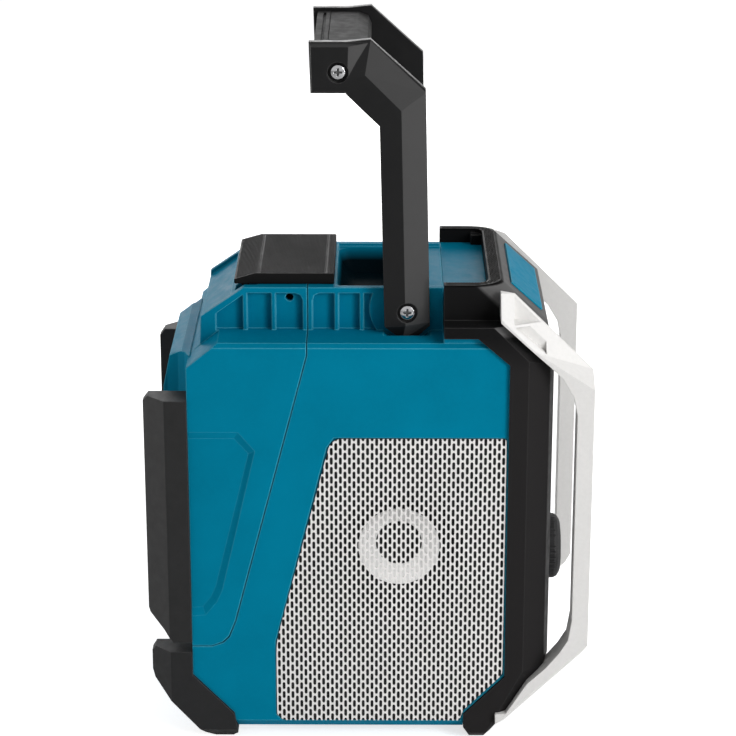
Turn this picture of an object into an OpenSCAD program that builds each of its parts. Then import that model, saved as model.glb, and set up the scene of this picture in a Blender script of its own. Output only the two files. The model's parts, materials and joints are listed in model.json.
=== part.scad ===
/* [Casing] */
// Half width across the side panels
side_hw = 77; // [74:0.5:79]
// Half width of the raised top
top_hw = 49.5; // [48:0.25:49.75]
// Height of the raised top
top_z = 283.5; // [281:0.5:285]
// Height of the shoulders beside the raised top
shoulder_z = 257; // [252:0.5:258]
// Rear face, behind the origin
rear_y = 107; // [102:0.5:108]
// Underside of the casing above the ground
belly_z = 6.5; // [5:0.5:9]
// Moulded wall
wall = 3; // [2:0.25:3.5]
// Depth of the ribbed side recesses in the raised top
rib_recess = 3.5; // [2:0.25:4]
// Thickness of one rib in those recesses
rib_t = 2.4; // [1.5:0.1:4]
// Drop of the deck between the raised top's side rims
deck_drop = 2; // [1:0.25:3]
// Width of those side rims
rim_w = 4; // [3:0.25:5]

/* [Battery cover] */
// Seam at the top of the casing
seam_top_y = 35.5; // [32:0.5:38]
// Seam at the foot of its sloping run
seam_low_y = 80; // [77:0.5:83]
// Height where the sloping run ends
seam_low_z = 79.5; // [76:0.5:84]
// Height of the split between cover and lower casing
split_z = 62.5; // [60:0.5:64]
// Gap along the seam
seam_gap = 0.5; // [0.4:0.1:1]
// Hinge axis behind the origin
hinge_y = 119; // [118:0.25:120]
// Diameter of the hinge pin
hinge_pin_d = 4; // [3:0.25:5]
// Outer diameter of the hinge knuckles
knuckle_d = 9; // [8:0.5:10]
// Rear face of the hump over the battery
hump_y = 124; // [118:0.5:126]
// Half width of the hump at its rear face
hump_hw = 40; // [34:0.5:42]

/* [Latch] */
// Half width of the latch
latch_hw = 43; // [36:0.5:45]
// Front end of the latch
latch_front_y = 20; // [16:0.5:26]
// Top face of the latch above the raised top
latch_h = 6.8; // [6.4:0.1:8]
// Pivot of the latch behind the origin
latch_pivot_y = 73; // [70:0.5:75]
// Diameter of the latch pin
latch_pin_d = 3; // [2:0.25:3.5]

/* [Front frame] */
// Proud step of the frame beyond the side panels
frame_step = 2; // [1:0.25:3]
// Line where the frame meets the casing
frame_y = -84; // [-86:0.5:-80]
// Foremost face of the frame
front_y = -111; // [-113:0.5:-109]
// Half width of the upper frame
crown_hw = 65; // [63:0.5:66]
// Top of the frame
crown_z = 290; // [288:0.5:292]
// Rear end of the frame on the raised top
crown_y = -45; // [-47:0.5:-43]
// Thickness of the rim round the top tray
rim_t = 6.5; // [5:0.5:8]
// Rounding of the top tray's front corners
tray_r = 7; // [4:0.5:9]
// Rounding of the crown's edges beside the slanted face
crown_r = 13; // [9:0.5:14]
// Floor of the top tray
tray_z = 280.5; // [279:0.5:283]

/* [Guards] */
// Outer face of the guards from the middle
guard_out = 81.5; // [80.5:0.25:83]
// Width of a guard bar across the casing
guard_w = 16.5; // [15.5:0.25:18]
// Foremost face of the guards
guard_y = -134; // [-138:0.5:-130]
// Depth of the upright bar
guard_t = 10; // [8:0.5:12]

/* [Handle] */
// Handle axis, across the casing
pivot_y = -23.5; // [-25:0.25:-22]
// Height of the handle axis
pivot_z = 270.5; // [269:0.25:272]
// Gap between the raised top and an arm
arm_gap = 0.5; // [0.3:0.1:1]
// Thickness of an arm
arm_t = 9; // [7:0.25:10]
// Width of an arm
arm_w = 27; // [24:0.25:27.5]
// Top of the handle
handle_z = 433.5; // [420:0.5:440]
// Height of the end block that holds the grip
block_h = 30; // [26:0.5:34]
// Shank diameter of the pivot screws
pivot_d = 6; // [5:0.25:6]
// Radial running clearance of all pins
run_gap = 0.05; // [0.03:0.01:0.09]
// Diameter of the countersunk recess round a screw head
screw_recess_d = 12; // [11:0.5:13]
// Diameter of the large screw heads
screw_head_d = 8.3; // [7:0.1:9]

/* [Speakers] */
// Speaker axis, across the casing
speaker_y = -19; // [-22:0.5:-14]
// Height of the speaker axis
speaker_z = 124.5; // [115:0.5:130]
// Outer diameter of a speaker frame
speaker_d = 88; // [82:0.5:92]
// Outer diameter of the pale cone
cone_d = 50; // [40:0.5:56]
// Diameter of the dust cap
cap_d = 26; // [20:0.5:30]
// Top edge of a grille
grille_top_z = 198.5; // [190:0.5:205]
// Sheet thickness of a grille
grille_t = 0.8; // [0.6:0.1:1.2]
// Height of a grille slot
slot_h = 8; // [6:0.25:9]
// Width of a grille slot
slot_w = 3.4; // [2:0.2:4]
// Pitch of the slot columns
slot_pitch_y = 8.1; // [7:0.1:10]
// Pitch of the slots in a column
slot_pitch_z = 12; // [11:0.25:15]

/* [Controls] */
// Height of the dial axis
dial_z = 97.5; // [92:0.5:102]
// Diameter of the dial
dial_d = 41; // [36:0.5:44]
// Depth of the dial in front of the panel
dial_h = 13; // [10:0.5:14]
// Shaft diameter of the dial
dial_shaft_d = 6; // [4:0.5:8]
// Travel of a button
press = 1; // [0.5:0.1:1.2]
// Gap round a button
button_gap = 0.35; // [0.2:0.05:0.5]
// Width of a preset button
preset_w = 14; // [10:0.5:15]
// Height of a preset button
preset_h = 8; // [6:0.5:10]
// Half width of the display window
lcd_hw = 38; // [30:0.5:44]
// Height of the display window
lcd_h = 46; // [36:0.5:52]
// Bottom edge of the display window
lcd_z = 164; // [160:0.5:168]

/* [Feet and bumpers] */
// Rear face of the bumpers
bumper_y = 134; // [130:0.5:138]
// Top of the upper bumpers
bumper_top_z = 222; // [210:0.5:228]
// Inner face of the bumpers from the middle
bumper_in = 59.6; // [59.4:0.1:62]

/* [Hidden] */

$fn = 48;
big = 400;
frame_hw = side_hw + frame_step;
belly_hw = side_hw - 6;
hinge_z = split_z;
guard_in = guard_out - guard_w;
arm_in = top_hw + arm_gap;
arm_out = arm_in + arm_t;
body_blue = [0.0, 0.36, 0.50];
black = [0.09, 0.09, 0.10];
dark = [0.16, 0.16, 0.17];
ivory = [0.88, 0.87, 0.84];
steel = [0.72, 0.73, 0.75];

// ---- shared shapes -------------------------------------------------------

// A side view, drawn as [y, z], extruded across the casing from x0 to x1
module side(pts, x0, x1) {
  translate([x0, 0, 0]) rotate([90, 0, 90]) linear_extrude(x1 - x0) polygon(pts);
}

// A front view, drawn as [x, z], extruded from y0 back to y1
module front(pts, y0, y1) {
  translate([0, y1, 0]) rotate([90, 0, 0]) linear_extrude(y1 - y0) polygon(pts);
}

// A box between two corners
module block(a, b) {
  translate(a) cube(b - a);
}

// A cylinder along X that starts at x0
module rod_x(x0, x1, y, z, d) {
  translate([x0, y, z]) rotate([0, 90, 0]) cylinder(h = x1 - x0, d = d);
}

// A cylinder along Y that starts at y0
module rod_y(y0, y1, x, z, d) {
  translate([x, y1, z]) rotate([90, 0, 0]) cylinder(h = y1 - y0, d = d);
}

// Points of an arc
function arc(x, y, r, from, to, count = 8) = [for (i = [0:count])
  let (a = from + (to - from) * i / count) [x + r * cos(a), y + r * sin(a)]];

// Upright block between y0 and y1 whose two front corners are rounded
module pan(hw, y0, y1, r, z0, z1) {
  translate([0, 0, z0]) linear_extrude(z1 - z0)
    polygon(concat([[hw, y1], [-hw, y1]], arc(r - hw, y0 + r, r, 180, 270),
      arc(hw - r, y0 + r, r, 270, 360)));
}

// Draws its children on both sides of the casing
module both() {
  children();
  mirror([1, 0, 0]) children();
}

// Pan head screw along X, head outwards at x, with a cross recess
module screw_x(x, y, z, d, head_d, len) {
  difference() {
    union() {
      rod_x(x - len, x - 2, y, z, d);
      rod_x(x - 2.5, x, y, z, head_d);
    }
    for (a = [0, 90])
      translate([x - 1.2, y, z]) rotate([a, 0, 0]) block([0, -0.5, -head_d / 3], [2, 0.5, head_d / 3]);
  }
}

// ---- outlines of the casing ----------------------------------------------

crown_drop_z = shoulder_z + 4;      // underside of the frame's crown
side_front = [[frame_y, 43], [frame_y, crown_drop_z - 16.5], [frame_y + 19, crown_drop_z],
  [crown_y, crown_drop_z], [crown_y, shoulder_z]];
side_rear = [[rear_y - 18.5, shoulder_z], [rear_y, shoulder_z - 15], [rear_y, 44],
  [rear_y - 25, 18], [rear_y - 27, belly_z], [-59, belly_z], [-59, 17.5]];
casing_side = concat(side_front, side_rear);
casing_front = [[-belly_hw, belly_z], [belly_hw, belly_z], [side_hw, belly_z + 6],
  [side_hw, shoulder_z - 2.5], [side_hw - 2.5, shoulder_z], [side_hw - 2.5, crown_drop_z],
  [2.5 - side_hw, crown_drop_z], [2.5 - side_hw, shoulder_z], [-side_hw, shoulder_z - 2.5],
  [-side_hw, belly_z + 6]];
top_rear_y = rear_y - 7.5;
slope_top_y = top_rear_y - 26;      // where the raised top starts to slope down
slope_low_z = top_z - 18;
top_side = [[crown_y, 200], [crown_y, top_z], [slope_top_y, top_z],
  [top_rear_y, slope_low_z], [top_rear_y + 0.6, shoulder_z - 9], [rear_y, shoulder_z - 15],
  [rear_y, 200]];
top_in_z = top_z - deck_drop - wall;
hump_side = [[rear_y - 1, shoulder_z - 13.5], [rear_y + 4.8, shoulder_z - 14],
  [hump_y - 4.7, shoulder_z - 18.4], [hump_y - 0.5, shoulder_z - 38], [hump_y, shoulder_z - 56],
  [hump_y, split_z + 34], [rear_y + 5, split_z + 19], [rear_y - 1, split_z + 17]];
hump_plan = [[hump_hw, hump_y + 1], [hump_hw + 1, hump_y - 3], [hump_hw + 5, hump_y - 10],
  [hump_hw + 10, hump_y - 14.5], [hump_hw + 17, rear_y], [hump_hw + 17, rear_y - 2]];

// Hump at the back of the cover, drawn smaller by g on every side
module hump(g) {
  intersection() {
    translate([0, -g, 0]) side(hump_side, -100, 100);
    translate([0, -g, 0]) linear_extrude(big)
      polygon(concat([for (p = hump_plan) [p[0] - g, p[1]]],
        [for (i = [len(hump_plan) - 1:-1:0]) [g - hump_plan[i][0], hump_plan[i][1]]]));
    block([-100, rear_y - 10, split_z + 17 + g], [100, hump_y + 1, shoulder_z - 13.5 - g]);
  }
}

// Deck between the side rims, lowered before and behind the seat of the latch
module deck() {
  difference() {
    side([[crown_y - 1, top_z + 1], [crown_y - 1, top_z - deck_drop],
      [slope_top_y - 1, top_z - deck_drop], [top_rear_y + 2, slope_low_z - deck_drop - 2.5],
      [top_rear_y + 2, top_z + 1]], rim_w - top_hw, top_hw - rim_w);
    block([-top_hw, latch_front_y - 1.4, shoulder_z],
      [top_hw, latch_pivot_y + latch_tail_r + 1.4, top_z + 2]);
  }
}

// The whole outside of casing and cover together
module casing_outside() {
  intersection() {
    side(casing_side, -side_hw, side_hw);
    front(casing_front, frame_y - 1, rear_y + 1);
  }
  side(top_side, -top_hw, top_hw);
}

// The same shape one wall further in, with its front left open
cavity_side = [[frame_y - 1, 43 + wall], [frame_y - 1, crown_drop_z - 16.5 - wall],
  [frame_y + 18, crown_drop_z - wall], [crown_y - wall, crown_drop_z - wall],
  [crown_y - wall, shoulder_z - wall], [rear_y - 19.7, shoulder_z - wall],
  [rear_y - wall, shoulder_z - 16.2], [rear_y - wall, 45.3], [rear_y - 27.6, 20.2],
  [rear_y - 29.6, belly_z + wall], [-56, belly_z + wall], [-56, 18.8]];
cavity_front = [[wall - belly_hw, belly_z + wall], [belly_hw - wall, belly_z + wall],
  [side_hw - wall, belly_z + 7.2], [side_hw - wall, crown_drop_z],
  [wall - side_hw, crown_drop_z], [wall - side_hw, belly_z + 7.2]];
top_in_hw = top_hw - rib_recess - wall;
top_cavity = [[crown_y + wall, 200], [crown_y + wall, top_in_z],
  [slope_top_y - 2, top_in_z], [top_rear_y - 3, slope_low_z - deck_drop - wall + 0.4],
  [top_rear_y - 2.4, shoulder_z - 10.8], [rear_y - wall, shoulder_z - 17], [rear_y - wall, 200]];

module casing_inside() {
  intersection() {
    side(cavity_side, -side_hw, side_hw);
    front(cavity_front, frame_y - 2, rear_y);
  }
  side(top_cavity, -top_in_hw, top_in_hw);
}

// Region in front of and below the seam, moved back by d
module before_seam(d) {
  side([[-big, -big], [-big, big], [seam_top_y + d, big], [seam_top_y + d, 250],
    [seam_low_y + d, seam_low_z], [seam_low_y + 4 + d, seam_low_z - 10.5 + d],
    [seam_low_y + 8 + d, split_z + 2.5 + d], [seam_low_y + 15, split_z + d],
    [big, split_z + d], [big, -big]], -big, big);
}

// Ribbed recess beside the raised top, between two places along Y
module rib_field(y0, y1, ribs, slope_end) {
  z0 = shoulder_z;
  z1 = top_z - 3.5;
  x0 = top_hw - rib_recess;
  difference() {
    side(slope_end ? [[y0, z0], [y0, z1 - 4.5], [y0 + 1.3, z1 - 1.3], [y0 + 4.5, z1],
      [slope_top_y - 1, z1], [y1, slope_low_z + 1.5], [y1, z0]]
      : [[y0, z0], [y0, z1], [y1 - 4.5, z1], [y1 - 1.3, z1 - 1.3], [y1, z1 - 4.5], [y1, z0]],
      x0, top_hw + 1);
    for (y = ribs) block([x0, y - rib_t / 2, z0], [top_hw, y + rib_t / 2, top_z]);
  }
}

// ---- casing --------------------------------------------------------------

bay_hw = 41.7;
bay_z0 = seam_low_z - 1.5;
bay_z1 = bay_z0 + 128;
bay_y = 22;
pivot_boss_d = 21;
boss_reach = 12;
arm_swing = 19.5;                   // radius that the foot of an arm turns in

module speaker_hole() {
  rod_x(side_hw - wall - 1, side_hw + 1, speaker_y, speaker_z, speaker_d - 6);
}

module housing() {
  color(body_blue) difference() {
    union() {
      difference() {
        intersection() {
          casing_outside();
          before_seam(0);
        }
        intersection() {
          casing_inside();
          before_seam(-wall);
        }
        // ribbed recesses
        both() rib_field(pivot_y + 18, seam_top_y - 2.6, [pivot_y + 27, pivot_y + 42], false);
      }
      // pivot bosses, and the cups that the arms' ends turn in
      both() rod_x(top_in_hw - boss_reach, top_hw, pivot_y, pivot_z, pivot_boss_d);
      both() intersection() {
        rod_x(top_in_hw, arm_out + 1 + wall, pivot_y, pivot_z, 2 * (arm_swing + wall));
        casing_outside();
      }
      // lips that close the seam inside the raised top
      both() {
        block([top_in_hw - 2.8, seam_top_y - 6, shoulder_z - 6],
          [top_in_hw - 0.3, seam_top_y + seam_gap + 1.8, top_in_z - 0.4]);
        block([top_in_hw - 2.8, seam_top_y - 6, shoulder_z - 6],
          [top_in_hw + 0.5, seam_top_y - 2, top_in_z - 0.4]);
      }
      // standoffs for the main board
      for (x = [-44, 44]) for (y = [-40, 14])
        translate([x, y, belly_z + wall - 0.5]) cylinder(h = board_z - belly_z - wall + 0.5, d = 8);
      // bosses for the frame's screws, each on a rib from the side wall
      both() for (z = frame_screw_z) {
        rod_y(frame_y + 0.2, frame_y + 16, frame_screw_x, z, 9);
        block([frame_screw_x, frame_y + 1, z - 2], [side_hw - wall + 0.5, frame_y + 13, z + 2]);
      }
    }
    deck();
    // battery opening in the bulkhead
    block([-bay_hw, bay_y, bay_z0], [bay_hw, seam_low_y + 4, bay_z1]);
    // pockets that the handle arms swing in
    both() rod_x(top_hw, arm_out + 1, pivot_y, pivot_z, 2 * arm_swing);
    // pivot screw holes
    both() rod_x(top_in_hw - boss_reach - 1, top_hw + 1, pivot_y, pivot_z, pivot_d);
    both() speaker_hole();
    both() grille_recess();
    // groove that the latch's lip snaps into
    side([[latch_front_y + 0.8, top_z + 1], [latch_front_y + 1.4, top_z - 1.2],
      [latch_front_y + 4.6, top_z - 1.2], [latch_front_y + 11.5, top_z + 1]],
      -lip_hw - 0.6, lip_hw + 0.6);
    // socket opening in the rear wall
    block([-7, rear_y - wall - 1, socket_z - 6], [7, rear_y + 1, socket_z + 6]);
    casing_screw_holes(2.5);
    foot_screw_holes(2.5);
  }
}

// Brackets that reach back from the casing to the hinge axis, and carry the flap between them
module hinge_brackets() {
  x0 = 14;
  x1 = 24;
  color(black) both() difference() {
    union() {
      rod_x(x0, x1, hinge_y, hinge_z, knuckle_d);
      side([[rear_y, 44], [rear_y, split_z - 1], [hinge_y, hinge_z - 0.5],
        [hinge_y + knuckle_d / 2 - 0.2, hinge_z - 1], [rear_y + 2, 44]], x0, x1);
    }
    rod_x(x0 - 1, x1 + 1, hinge_y, hinge_z, hinge_pin_d);
    rod_x(x0 - 1, flap_pin_x + 0.3, flap_y, flap_z, flap_pin_d + 2 * run_gap);
  }
}

module battery_bay() {
  t = 2;
  g = 0.3;
  color(dark) difference() {
    intersection() {
      block([g - bay_hw, bay_y + g, bay_z0 + g], [bay_hw - g, seam_low_y + 4, bay_z1 - g]);
      before_seam(-1.5);
    }
    block([g + t - bay_hw, bay_y + g + t, bay_z0 + g + t],
      [bay_hw - g - t, seam_low_y + 9, bay_z1 - g - t]);
    // passage for the contacts
    block([-14, bay_y - 1, terminal_z - 8], [14, bay_y + 5, terminal_z + 8]);
    // passage for the charging socket
    block([-7.8, bay_y - 1, usb_z - 3.8], [7.8, bay_y + 5, usb_z + 3.8]);
  }
}

terminal_z = 180;
module battery_terminals() {
  color(black) difference() {
    union() {
      block([-20, bay_y + 2.3, terminal_z - 12], [20, bay_y + 7, terminal_z + 12]);
      block([-13.7, bay_y - 4, terminal_z - 7.7], [13.7, bay_y + 2.4, terminal_z + 7.7]);
      // guide rails for the pack
      for (x = [-34, 30]) block([x, bay_y + 2.3, bay_z0 + 20], [x + 4, bay_y + 9, terminal_z + 12]);
      for (x = [-31, 19]) block([x, bay_y + 2.3, terminal_z], [x + 12, bay_y + 7, terminal_z + 8]);
    }
    for (x = [-10, -3.3, 3.3, 10])
      block([x - 1, bay_y + 3.5, terminal_z - 20], [x + 1, bay_y + 8, terminal_z + 8]);
  }
}

// ---- front frame ---------------------------------------------------------

foot_y = -72;
slope_y = -79;                      // upper edge of the slanted face
slope_drop = 25.5;
slope_tilt = atan2(slope_drop, slope_y - front_y - 4);
tray_y = slope_y + 1 + rim_t;       // front wall of the tray
panel_z0 = 46;
panel_z1 = 242;
panel_hw = 58;
panel_y = front_y + 3;

// The frame as one block, before it is hollowed
module frame_block() {
  hull() {
    side([[crown_y, crown_drop_z], [crown_y, 268], [-74, 268], [frame_y - 11, 247],
      [frame_y - 11, 47], [foot_y - 5, 14], [foot_y - 1, 5], [-63, 5], [-59, 9]],
      -frame_hw, frame_hw);
    side([[-60, 268], [-89, 268], [front_y + 3, 243], [front_y + 3, 46], [foot_y - 14, 16],
      [foot_y - 4, 4], [foot_y, 0], [-63, 0]], 7 - frame_hw, frame_hw - 7);
    side([[-60, 268], [-99, 268], [front_y, crown_z - 44], [front_y, 52], [foot_y - 9, 14]],
      -60, 60);
  }
  difference() {
    side([[crown_y, crown_drop_z], [crown_y, crown_z - 0.5], [-66, crown_z - 0.5],
      [slope_y, crown_z], [front_y + 4, crown_z - slope_drop], [front_y + 8, 255], [-60, 255]],
      -crown_hw, crown_hw);
    // rounded edges down both sides of the slanted face
    both() translate([crown_hw, slope_y, crown_z]) rotate([slope_tilt - 90, 0, 0]) difference() {
      block([-crown_r, -60, -90], [60, crown_r, 60]);
      translate([-crown_r, crown_r, -91]) cylinder(h = 152, r = crown_r + 0.04);
    }
  }
}

module front_frame() {
  color(black) difference() {
    frame_block();
    // the casing's own place
    side(concat([[200, -50], [200, crown_drop_z], [crown_y, crown_drop_z]],
      [[frame_y + 19, crown_drop_z], [frame_y, crown_drop_z - 16.5], [frame_y, 43],
      [-59, 17.5], [-59, -50]]), -big, big);
    // gap between the feet
    side([[-50, -5], [-50, belly_z + 2], [foot_y - 10, belly_z + 2], [foot_y - 20, -5]], -46, 46);
    // inside, with four screw tabs left along its rear edge
    difference() {
      union() {
        block([4 - frame_hw, frame_y - 9, 48], [frame_hw - 4, frame_y + 1, 246]);
        block([-66, front_y + 7, 48], [66, frame_y, 246]);
      }
      both() for (z = frame_screw_z)
        block([frame_screw_x - 6, frame_y - tab_t, z - 7], [frame_hw, frame_y + 1, z + 7]);
    }
    side([[frame_y + 20, crown_drop_z - 1], [frame_y + 20, tray_z - 9], [-90, tray_z - 9],
      [front_y + 9, 250], [front_y + 9, 200], [frame_y, 200], [frame_y, 240]], -60, 60);
    // window for the panel
    block([-panel_hw, front_y - 1, panel_z0], [panel_hw, front_y + 8, panel_z1]);
    // tray in the crown
    pan(crown_hw - rim_t, tray_y, crown_y + 1, tray_r, tray_z - 3, crown_z + 5);
    // seat of the label plate
    label_shape(0.4, 2.6);
    both() side(concat(guard_outer, guard_inner), guard_in, big);
    guard_screw_holes(3.2, 2.5, 2.5);
    casing_screw_holes(3.2);
  }
  // small stops in the tray's front corners
  color(black) both() block([crown_hw - rim_t - 6, tray_y - 2, tray_z + 0.2],
    [crown_hw - rim_t + 1, tray_y + 7, tray_z + 6.5]);
}

module top_tray() {
  color(body_blue)
    pan(crown_hw - rim_t - 0.2, tray_y + 0.2, crown_y - 0.2, tray_r - 0.2, tray_z - 3, tray_z);
}

// The bare plate on the slanted face
label_hw = 42;
label_l = 25;
module label_shape(g, h) {
  translate([0, slope_y, crown_z]) rotate([slope_tilt, 0, 0])
    block([-label_hw - g, -label_l - 8.5 - g, -h], [label_hw + g, g - 8.5, 1]);
}
module label_plate() {
  color(body_blue) label_shape(0, 2.6);
}

module front_panel() {
  color(dark) difference() {
    block([0.3 - panel_hw, panel_y, panel_z0 + 0.3],
      [panel_hw - 0.3, panel_y + 3.5, panel_z1 - 0.3]);
    block([-lcd_hw, panel_y - 1, lcd_z], [lcd_hw, panel_y + 5, lcd_z + lcd_h]);
    rod_y(panel_y - 1, panel_y + 5, 0, dial_z, dial_shaft_d + 3);
    for (i = [0:4]) button_shape(preset_x(i), preset_z, preset_w, preset_h, button_gap, 10);
    for (p = side_buttons) button_shape(p[0], p[1], 15, 10, button_gap, 10);
  }
  // posts that hold the control board
  color(dark) for (x = [-50, 50]) for (z = [60, 225])
    rod_y(panel_y + 3.4, board_y, x, z, 7);
}

module display_lens() {
  color([0.1, 0.12, 0.13]) union() {
    block([0.2 - lcd_hw, panel_y + 0.4, lcd_z + 0.2], [lcd_hw - 0.2, panel_y + 3.5, lcd_z + lcd_h - 0.2]);
    block([-lcd_hw - 3, panel_y + 3.5, lcd_z - 3], [lcd_hw + 3, panel_y + 4.7, lcd_z + lcd_h + 3]);
  }
}

module display_module() {
  color(steel) difference() {
    block([-lcd_hw - 1, panel_y + 4.7, lcd_z - 2], [lcd_hw + 1, board_y, lcd_z + lcd_h + 2]);
    block([2 - lcd_hw, panel_y + 4, lcd_z + 2], [lcd_hw - 2, panel_y + 5.2, lcd_z + lcd_h - 2]);
  }
}

board_y = panel_y + 10;
module control_board() {
  color([0.05, 0.3, 0.15]) difference() {
    block([-54, board_y, 56], [54, board_y + 1.6, 230]);
    for (x = [-50, 50]) for (z = [60, 225]) rod_y(board_y - 1, board_y + 3, x, z, 3);
  }
  // the larger parts on its back
  color(black) for (p = [[-20, 180], [22, 150], [-25, 90]])
    block([p[0] - 8, board_y + 1.5, p[1] - 8], [p[0] + 8, board_y + 4, p[1] + 8]);
}

// Domes under the buttons, resting on the board
module dome_switches() {
  color(steel) {
    for (i = [0:4]) dome(preset_x(i), preset_z);
    for (p = side_buttons) dome(p[0], p[1]);
  }
}
dome_y = panel_y + 3.5 + 1.8 + press + 0.3;
module dome(x, z) {
  rod_y(dome_y, board_y, x, z, 6);
}

module encoder() {
  color(steel) difference() {
    block([-7, panel_y + 4.2, dial_z - 7], [7, board_y, dial_z + 7]);
    rod_y(panel_y, board_y + 1, 0, dial_z, dial_shaft_d + 2 * run_gap);
  }
}

board_z = belly_z + 14;
module main_board() {
  color([0.05, 0.3, 0.15]) difference() {
    block([-48, -44, board_z], [48, 18, board_z + 1.6]);
    for (x = [-44, 44]) for (y = [-40, 14])
      translate([x, y, board_z - 1]) cylinder(h = 4, d = 3);
  }
  // capacitors, heat sink and amplifier
  color(black) for (x = [-34, -24, 26]) translate([x, -30, board_z + 1.5]) cylinder(h = 14, d = 8);
  color(steel) for (i = [0:5]) block([-16, i * 3 - 12, board_z + 1.5], [16, i * 3 - 10.5, board_z + 13]);
  color(steel) block([-16, -12, board_z + 1.5], [16, 4.5, board_z + 3]);
}

// ---- guards --------------------------------------------------------------

// Upper anchor, slanted arm, upright bar and lower arm in one bar
guard_outer = [[-78, crown_z - 3.5], [-86.5, crown_z - 5], [guard_y, 238], [guard_y, 64],
  [guard_y + 3.2, 58], [-84.5, 12.8], [-78.5, 12.8]];
guard_inner = [[-78.5, 19], [-85, 19.5], [-97.5, 39.5], [-108.5, 50], [-117, 60.5],
  [-122, 69], [guard_y + guard_t, 82], [guard_y + guard_t, 214], [-121.5, 226],
  [-115, 237], [-108, 244], [-99, 252], [-78, 271.5]];

module guard() {
  difference() {
    side(concat(guard_outer, guard_inner), guard_in, guard_out);
    // sloping face of the upper arm, in two facets that meet half way along it
    intersection() {
      translate([guard_in, -86.5, crown_z - 5]) rotate([44.7, 0, 0]) rotate([0, 40, 0])
        block([-5, -90, 0], [60, 60, 60]);
      translate([guard_in, guard_y, 238]) rotate([33.2, 0, 0]) rotate([0, 21.1, 0])
        block([-5, -60, 0], [60, 120, 60]);
    }
    // bevel under the lower arm
    translate([guard_out - 6, -84.5, 12.8]) rotate([-44.3, 0, 0]) rotate([0, -30, 0])
      block([0, -90, -40], [60, 60, 0]);
    // two-stepped pocket in the upper arm
    side([[-86, 300], [-86, 269.5], [-105, 267.5], [-105, 300]], guard_in + 1.5, guard_out + 1);
    side([[-86.5, 268], [-105, 266], [-105, 251.5]], guard_in + 7.5, guard_out + 1);
    guard_screw_holes(2.5, 3.2, 7);
  }
}
module guard_left() { color(ivory) mirror([1, 0, 0]) guard(); }
module guard_right() { color(ivory) guard(); }

// Screws that hold a guard: one from inside the frame, one up into the foot
guard_top = [-91.6, 262.4];
guard_seat = 60;                    // inner face of the frame beside the upper screw
guard_low = [guard_in + 6, -93];
module guard_screw_holes(top_d, d, head) {
  both() {
    rod_x(guard_seat - 1, guard_in + 6.5, guard_top[0], guard_top[1], top_d);
    translate([guard_low[0], guard_low[1], 0]) cylinder(h = 44, d = d);
    translate([guard_low[0], guard_low[1], 0]) cylinder(h = 26, d = head);
  }
}

module guard_screws() {
  color(steel) both() {
    mirror([1, 0, 0]) screw_x(2.5 - guard_seat, guard_top[0], guard_top[1], 2.5, 5, 12.5);
    translate([guard_low[0], guard_low[1], 24]) difference() {
      union() {
        cylinder(h = 18, d = 2.5);
        cylinder(h = 2, d = 5.5);
      }
      for (a = [0, 90]) rotate([0, 0, a]) block([-0.5, -1.8, -1], [0.5, 1.8, 1.1]);
    }
  }
}

// ---- grilles and speakers ------------------------------------------------

grille_x = side_hw;
grille_gap = 0.8;
grille_front = frame_y + grille_gap;
grille_edge = [[grille_front, grille_top_z], [grille_front, 44], [-59.3, 19.5], [-57, belly_z + 6],
  [52, belly_z + 6], [56, belly_z + 10], [56, 66], [24.3, grille_top_z - 6.5],
  [20, grille_top_z]];
grille_floor = side_hw - 1.5;

// The same outline one rim further in
rim = 3.4;
grille_field = [[grille_front + rim, grille_top_z - rim], [grille_front + rim, 45.5],
  [-57.6, 19 + rim], [-56.3, belly_z + 6 + rim], [50.5, belly_z + 6 + rim],
  [56 - rim, belly_z + 12], [56 - rim, 65.6], [21.4, grille_top_z - 8],
  [18.6, grille_top_z - rim]];

module grille_recess() {
  side(grille_edge, grille_floor, side_hw + 2);
}

// Where the slanted rear edge of the slot field lies at a height
function field_rear(z) = z > 66 ? 52.6 - (z - 66) * 31.2 / (grille_top_z - 74) : 52.6;
// Where its front edge lies
function field_front(z) = z < 47 ? max(-79, -57 - (z - 19) * 0.82) : grille_front + rim;

module slots() {
  cols = floor((52 - grille_front) / slot_pitch_y);
  rows = floor((grille_top_z - belly_z - 16) / slot_pitch_z);
  for (i = [0:cols], j = [0:rows]) {
    y = grille_front + rim + i * slot_pitch_y + slot_w;
    z = belly_z + 11 + (j + (i % 2) / 2) * slot_pitch_z;
    if (z + slot_h < grille_top_z - rim && y + slot_w / 2 < min(field_rear(z), field_rear(z + slot_h))
      && y - slot_w / 2 > max(field_front(z), field_front(z + slot_h)))
      translate([y - slot_w / 2, z]) square([slot_w, slot_h]);
  }
}

module grille() {
  color([0.85, 0.83, 0.78]) translate([grille_x, 0, 0]) rotate([90, 0, 90]) linear_extrude(grille_t)
    difference() {
      polygon(grille_edge);
      slots();
    }
  // rim that seats in the recess
  color([0.85, 0.83, 0.78]) difference() {
    side(grille_edge, grille_floor, side_hw);
    side(grille_field, grille_floor - 1, side_hw + 1);
  }
}
// Black foam between the grille and the casing, open over the speaker
module grille_foam() {
  color(black) difference() {
    side(grille_field, grille_floor, side_hw - 0.1);
    rod_x(grille_floor - 1, side_hw + 1, speaker_y, speaker_z, speaker_d - 8);
  }
}
module grille_foam_left() { mirror([1, 0, 0]) grille_foam(); }
module grille_foam_right() { grille_foam(); }
module grille_left() { mirror([1, 0, 0]) grille(); }
module grille_right() { grille(); }

module along_x(x) {
  translate([x, speaker_y, speaker_z]) rotate([0, 90, 0]) children();
}

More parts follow.
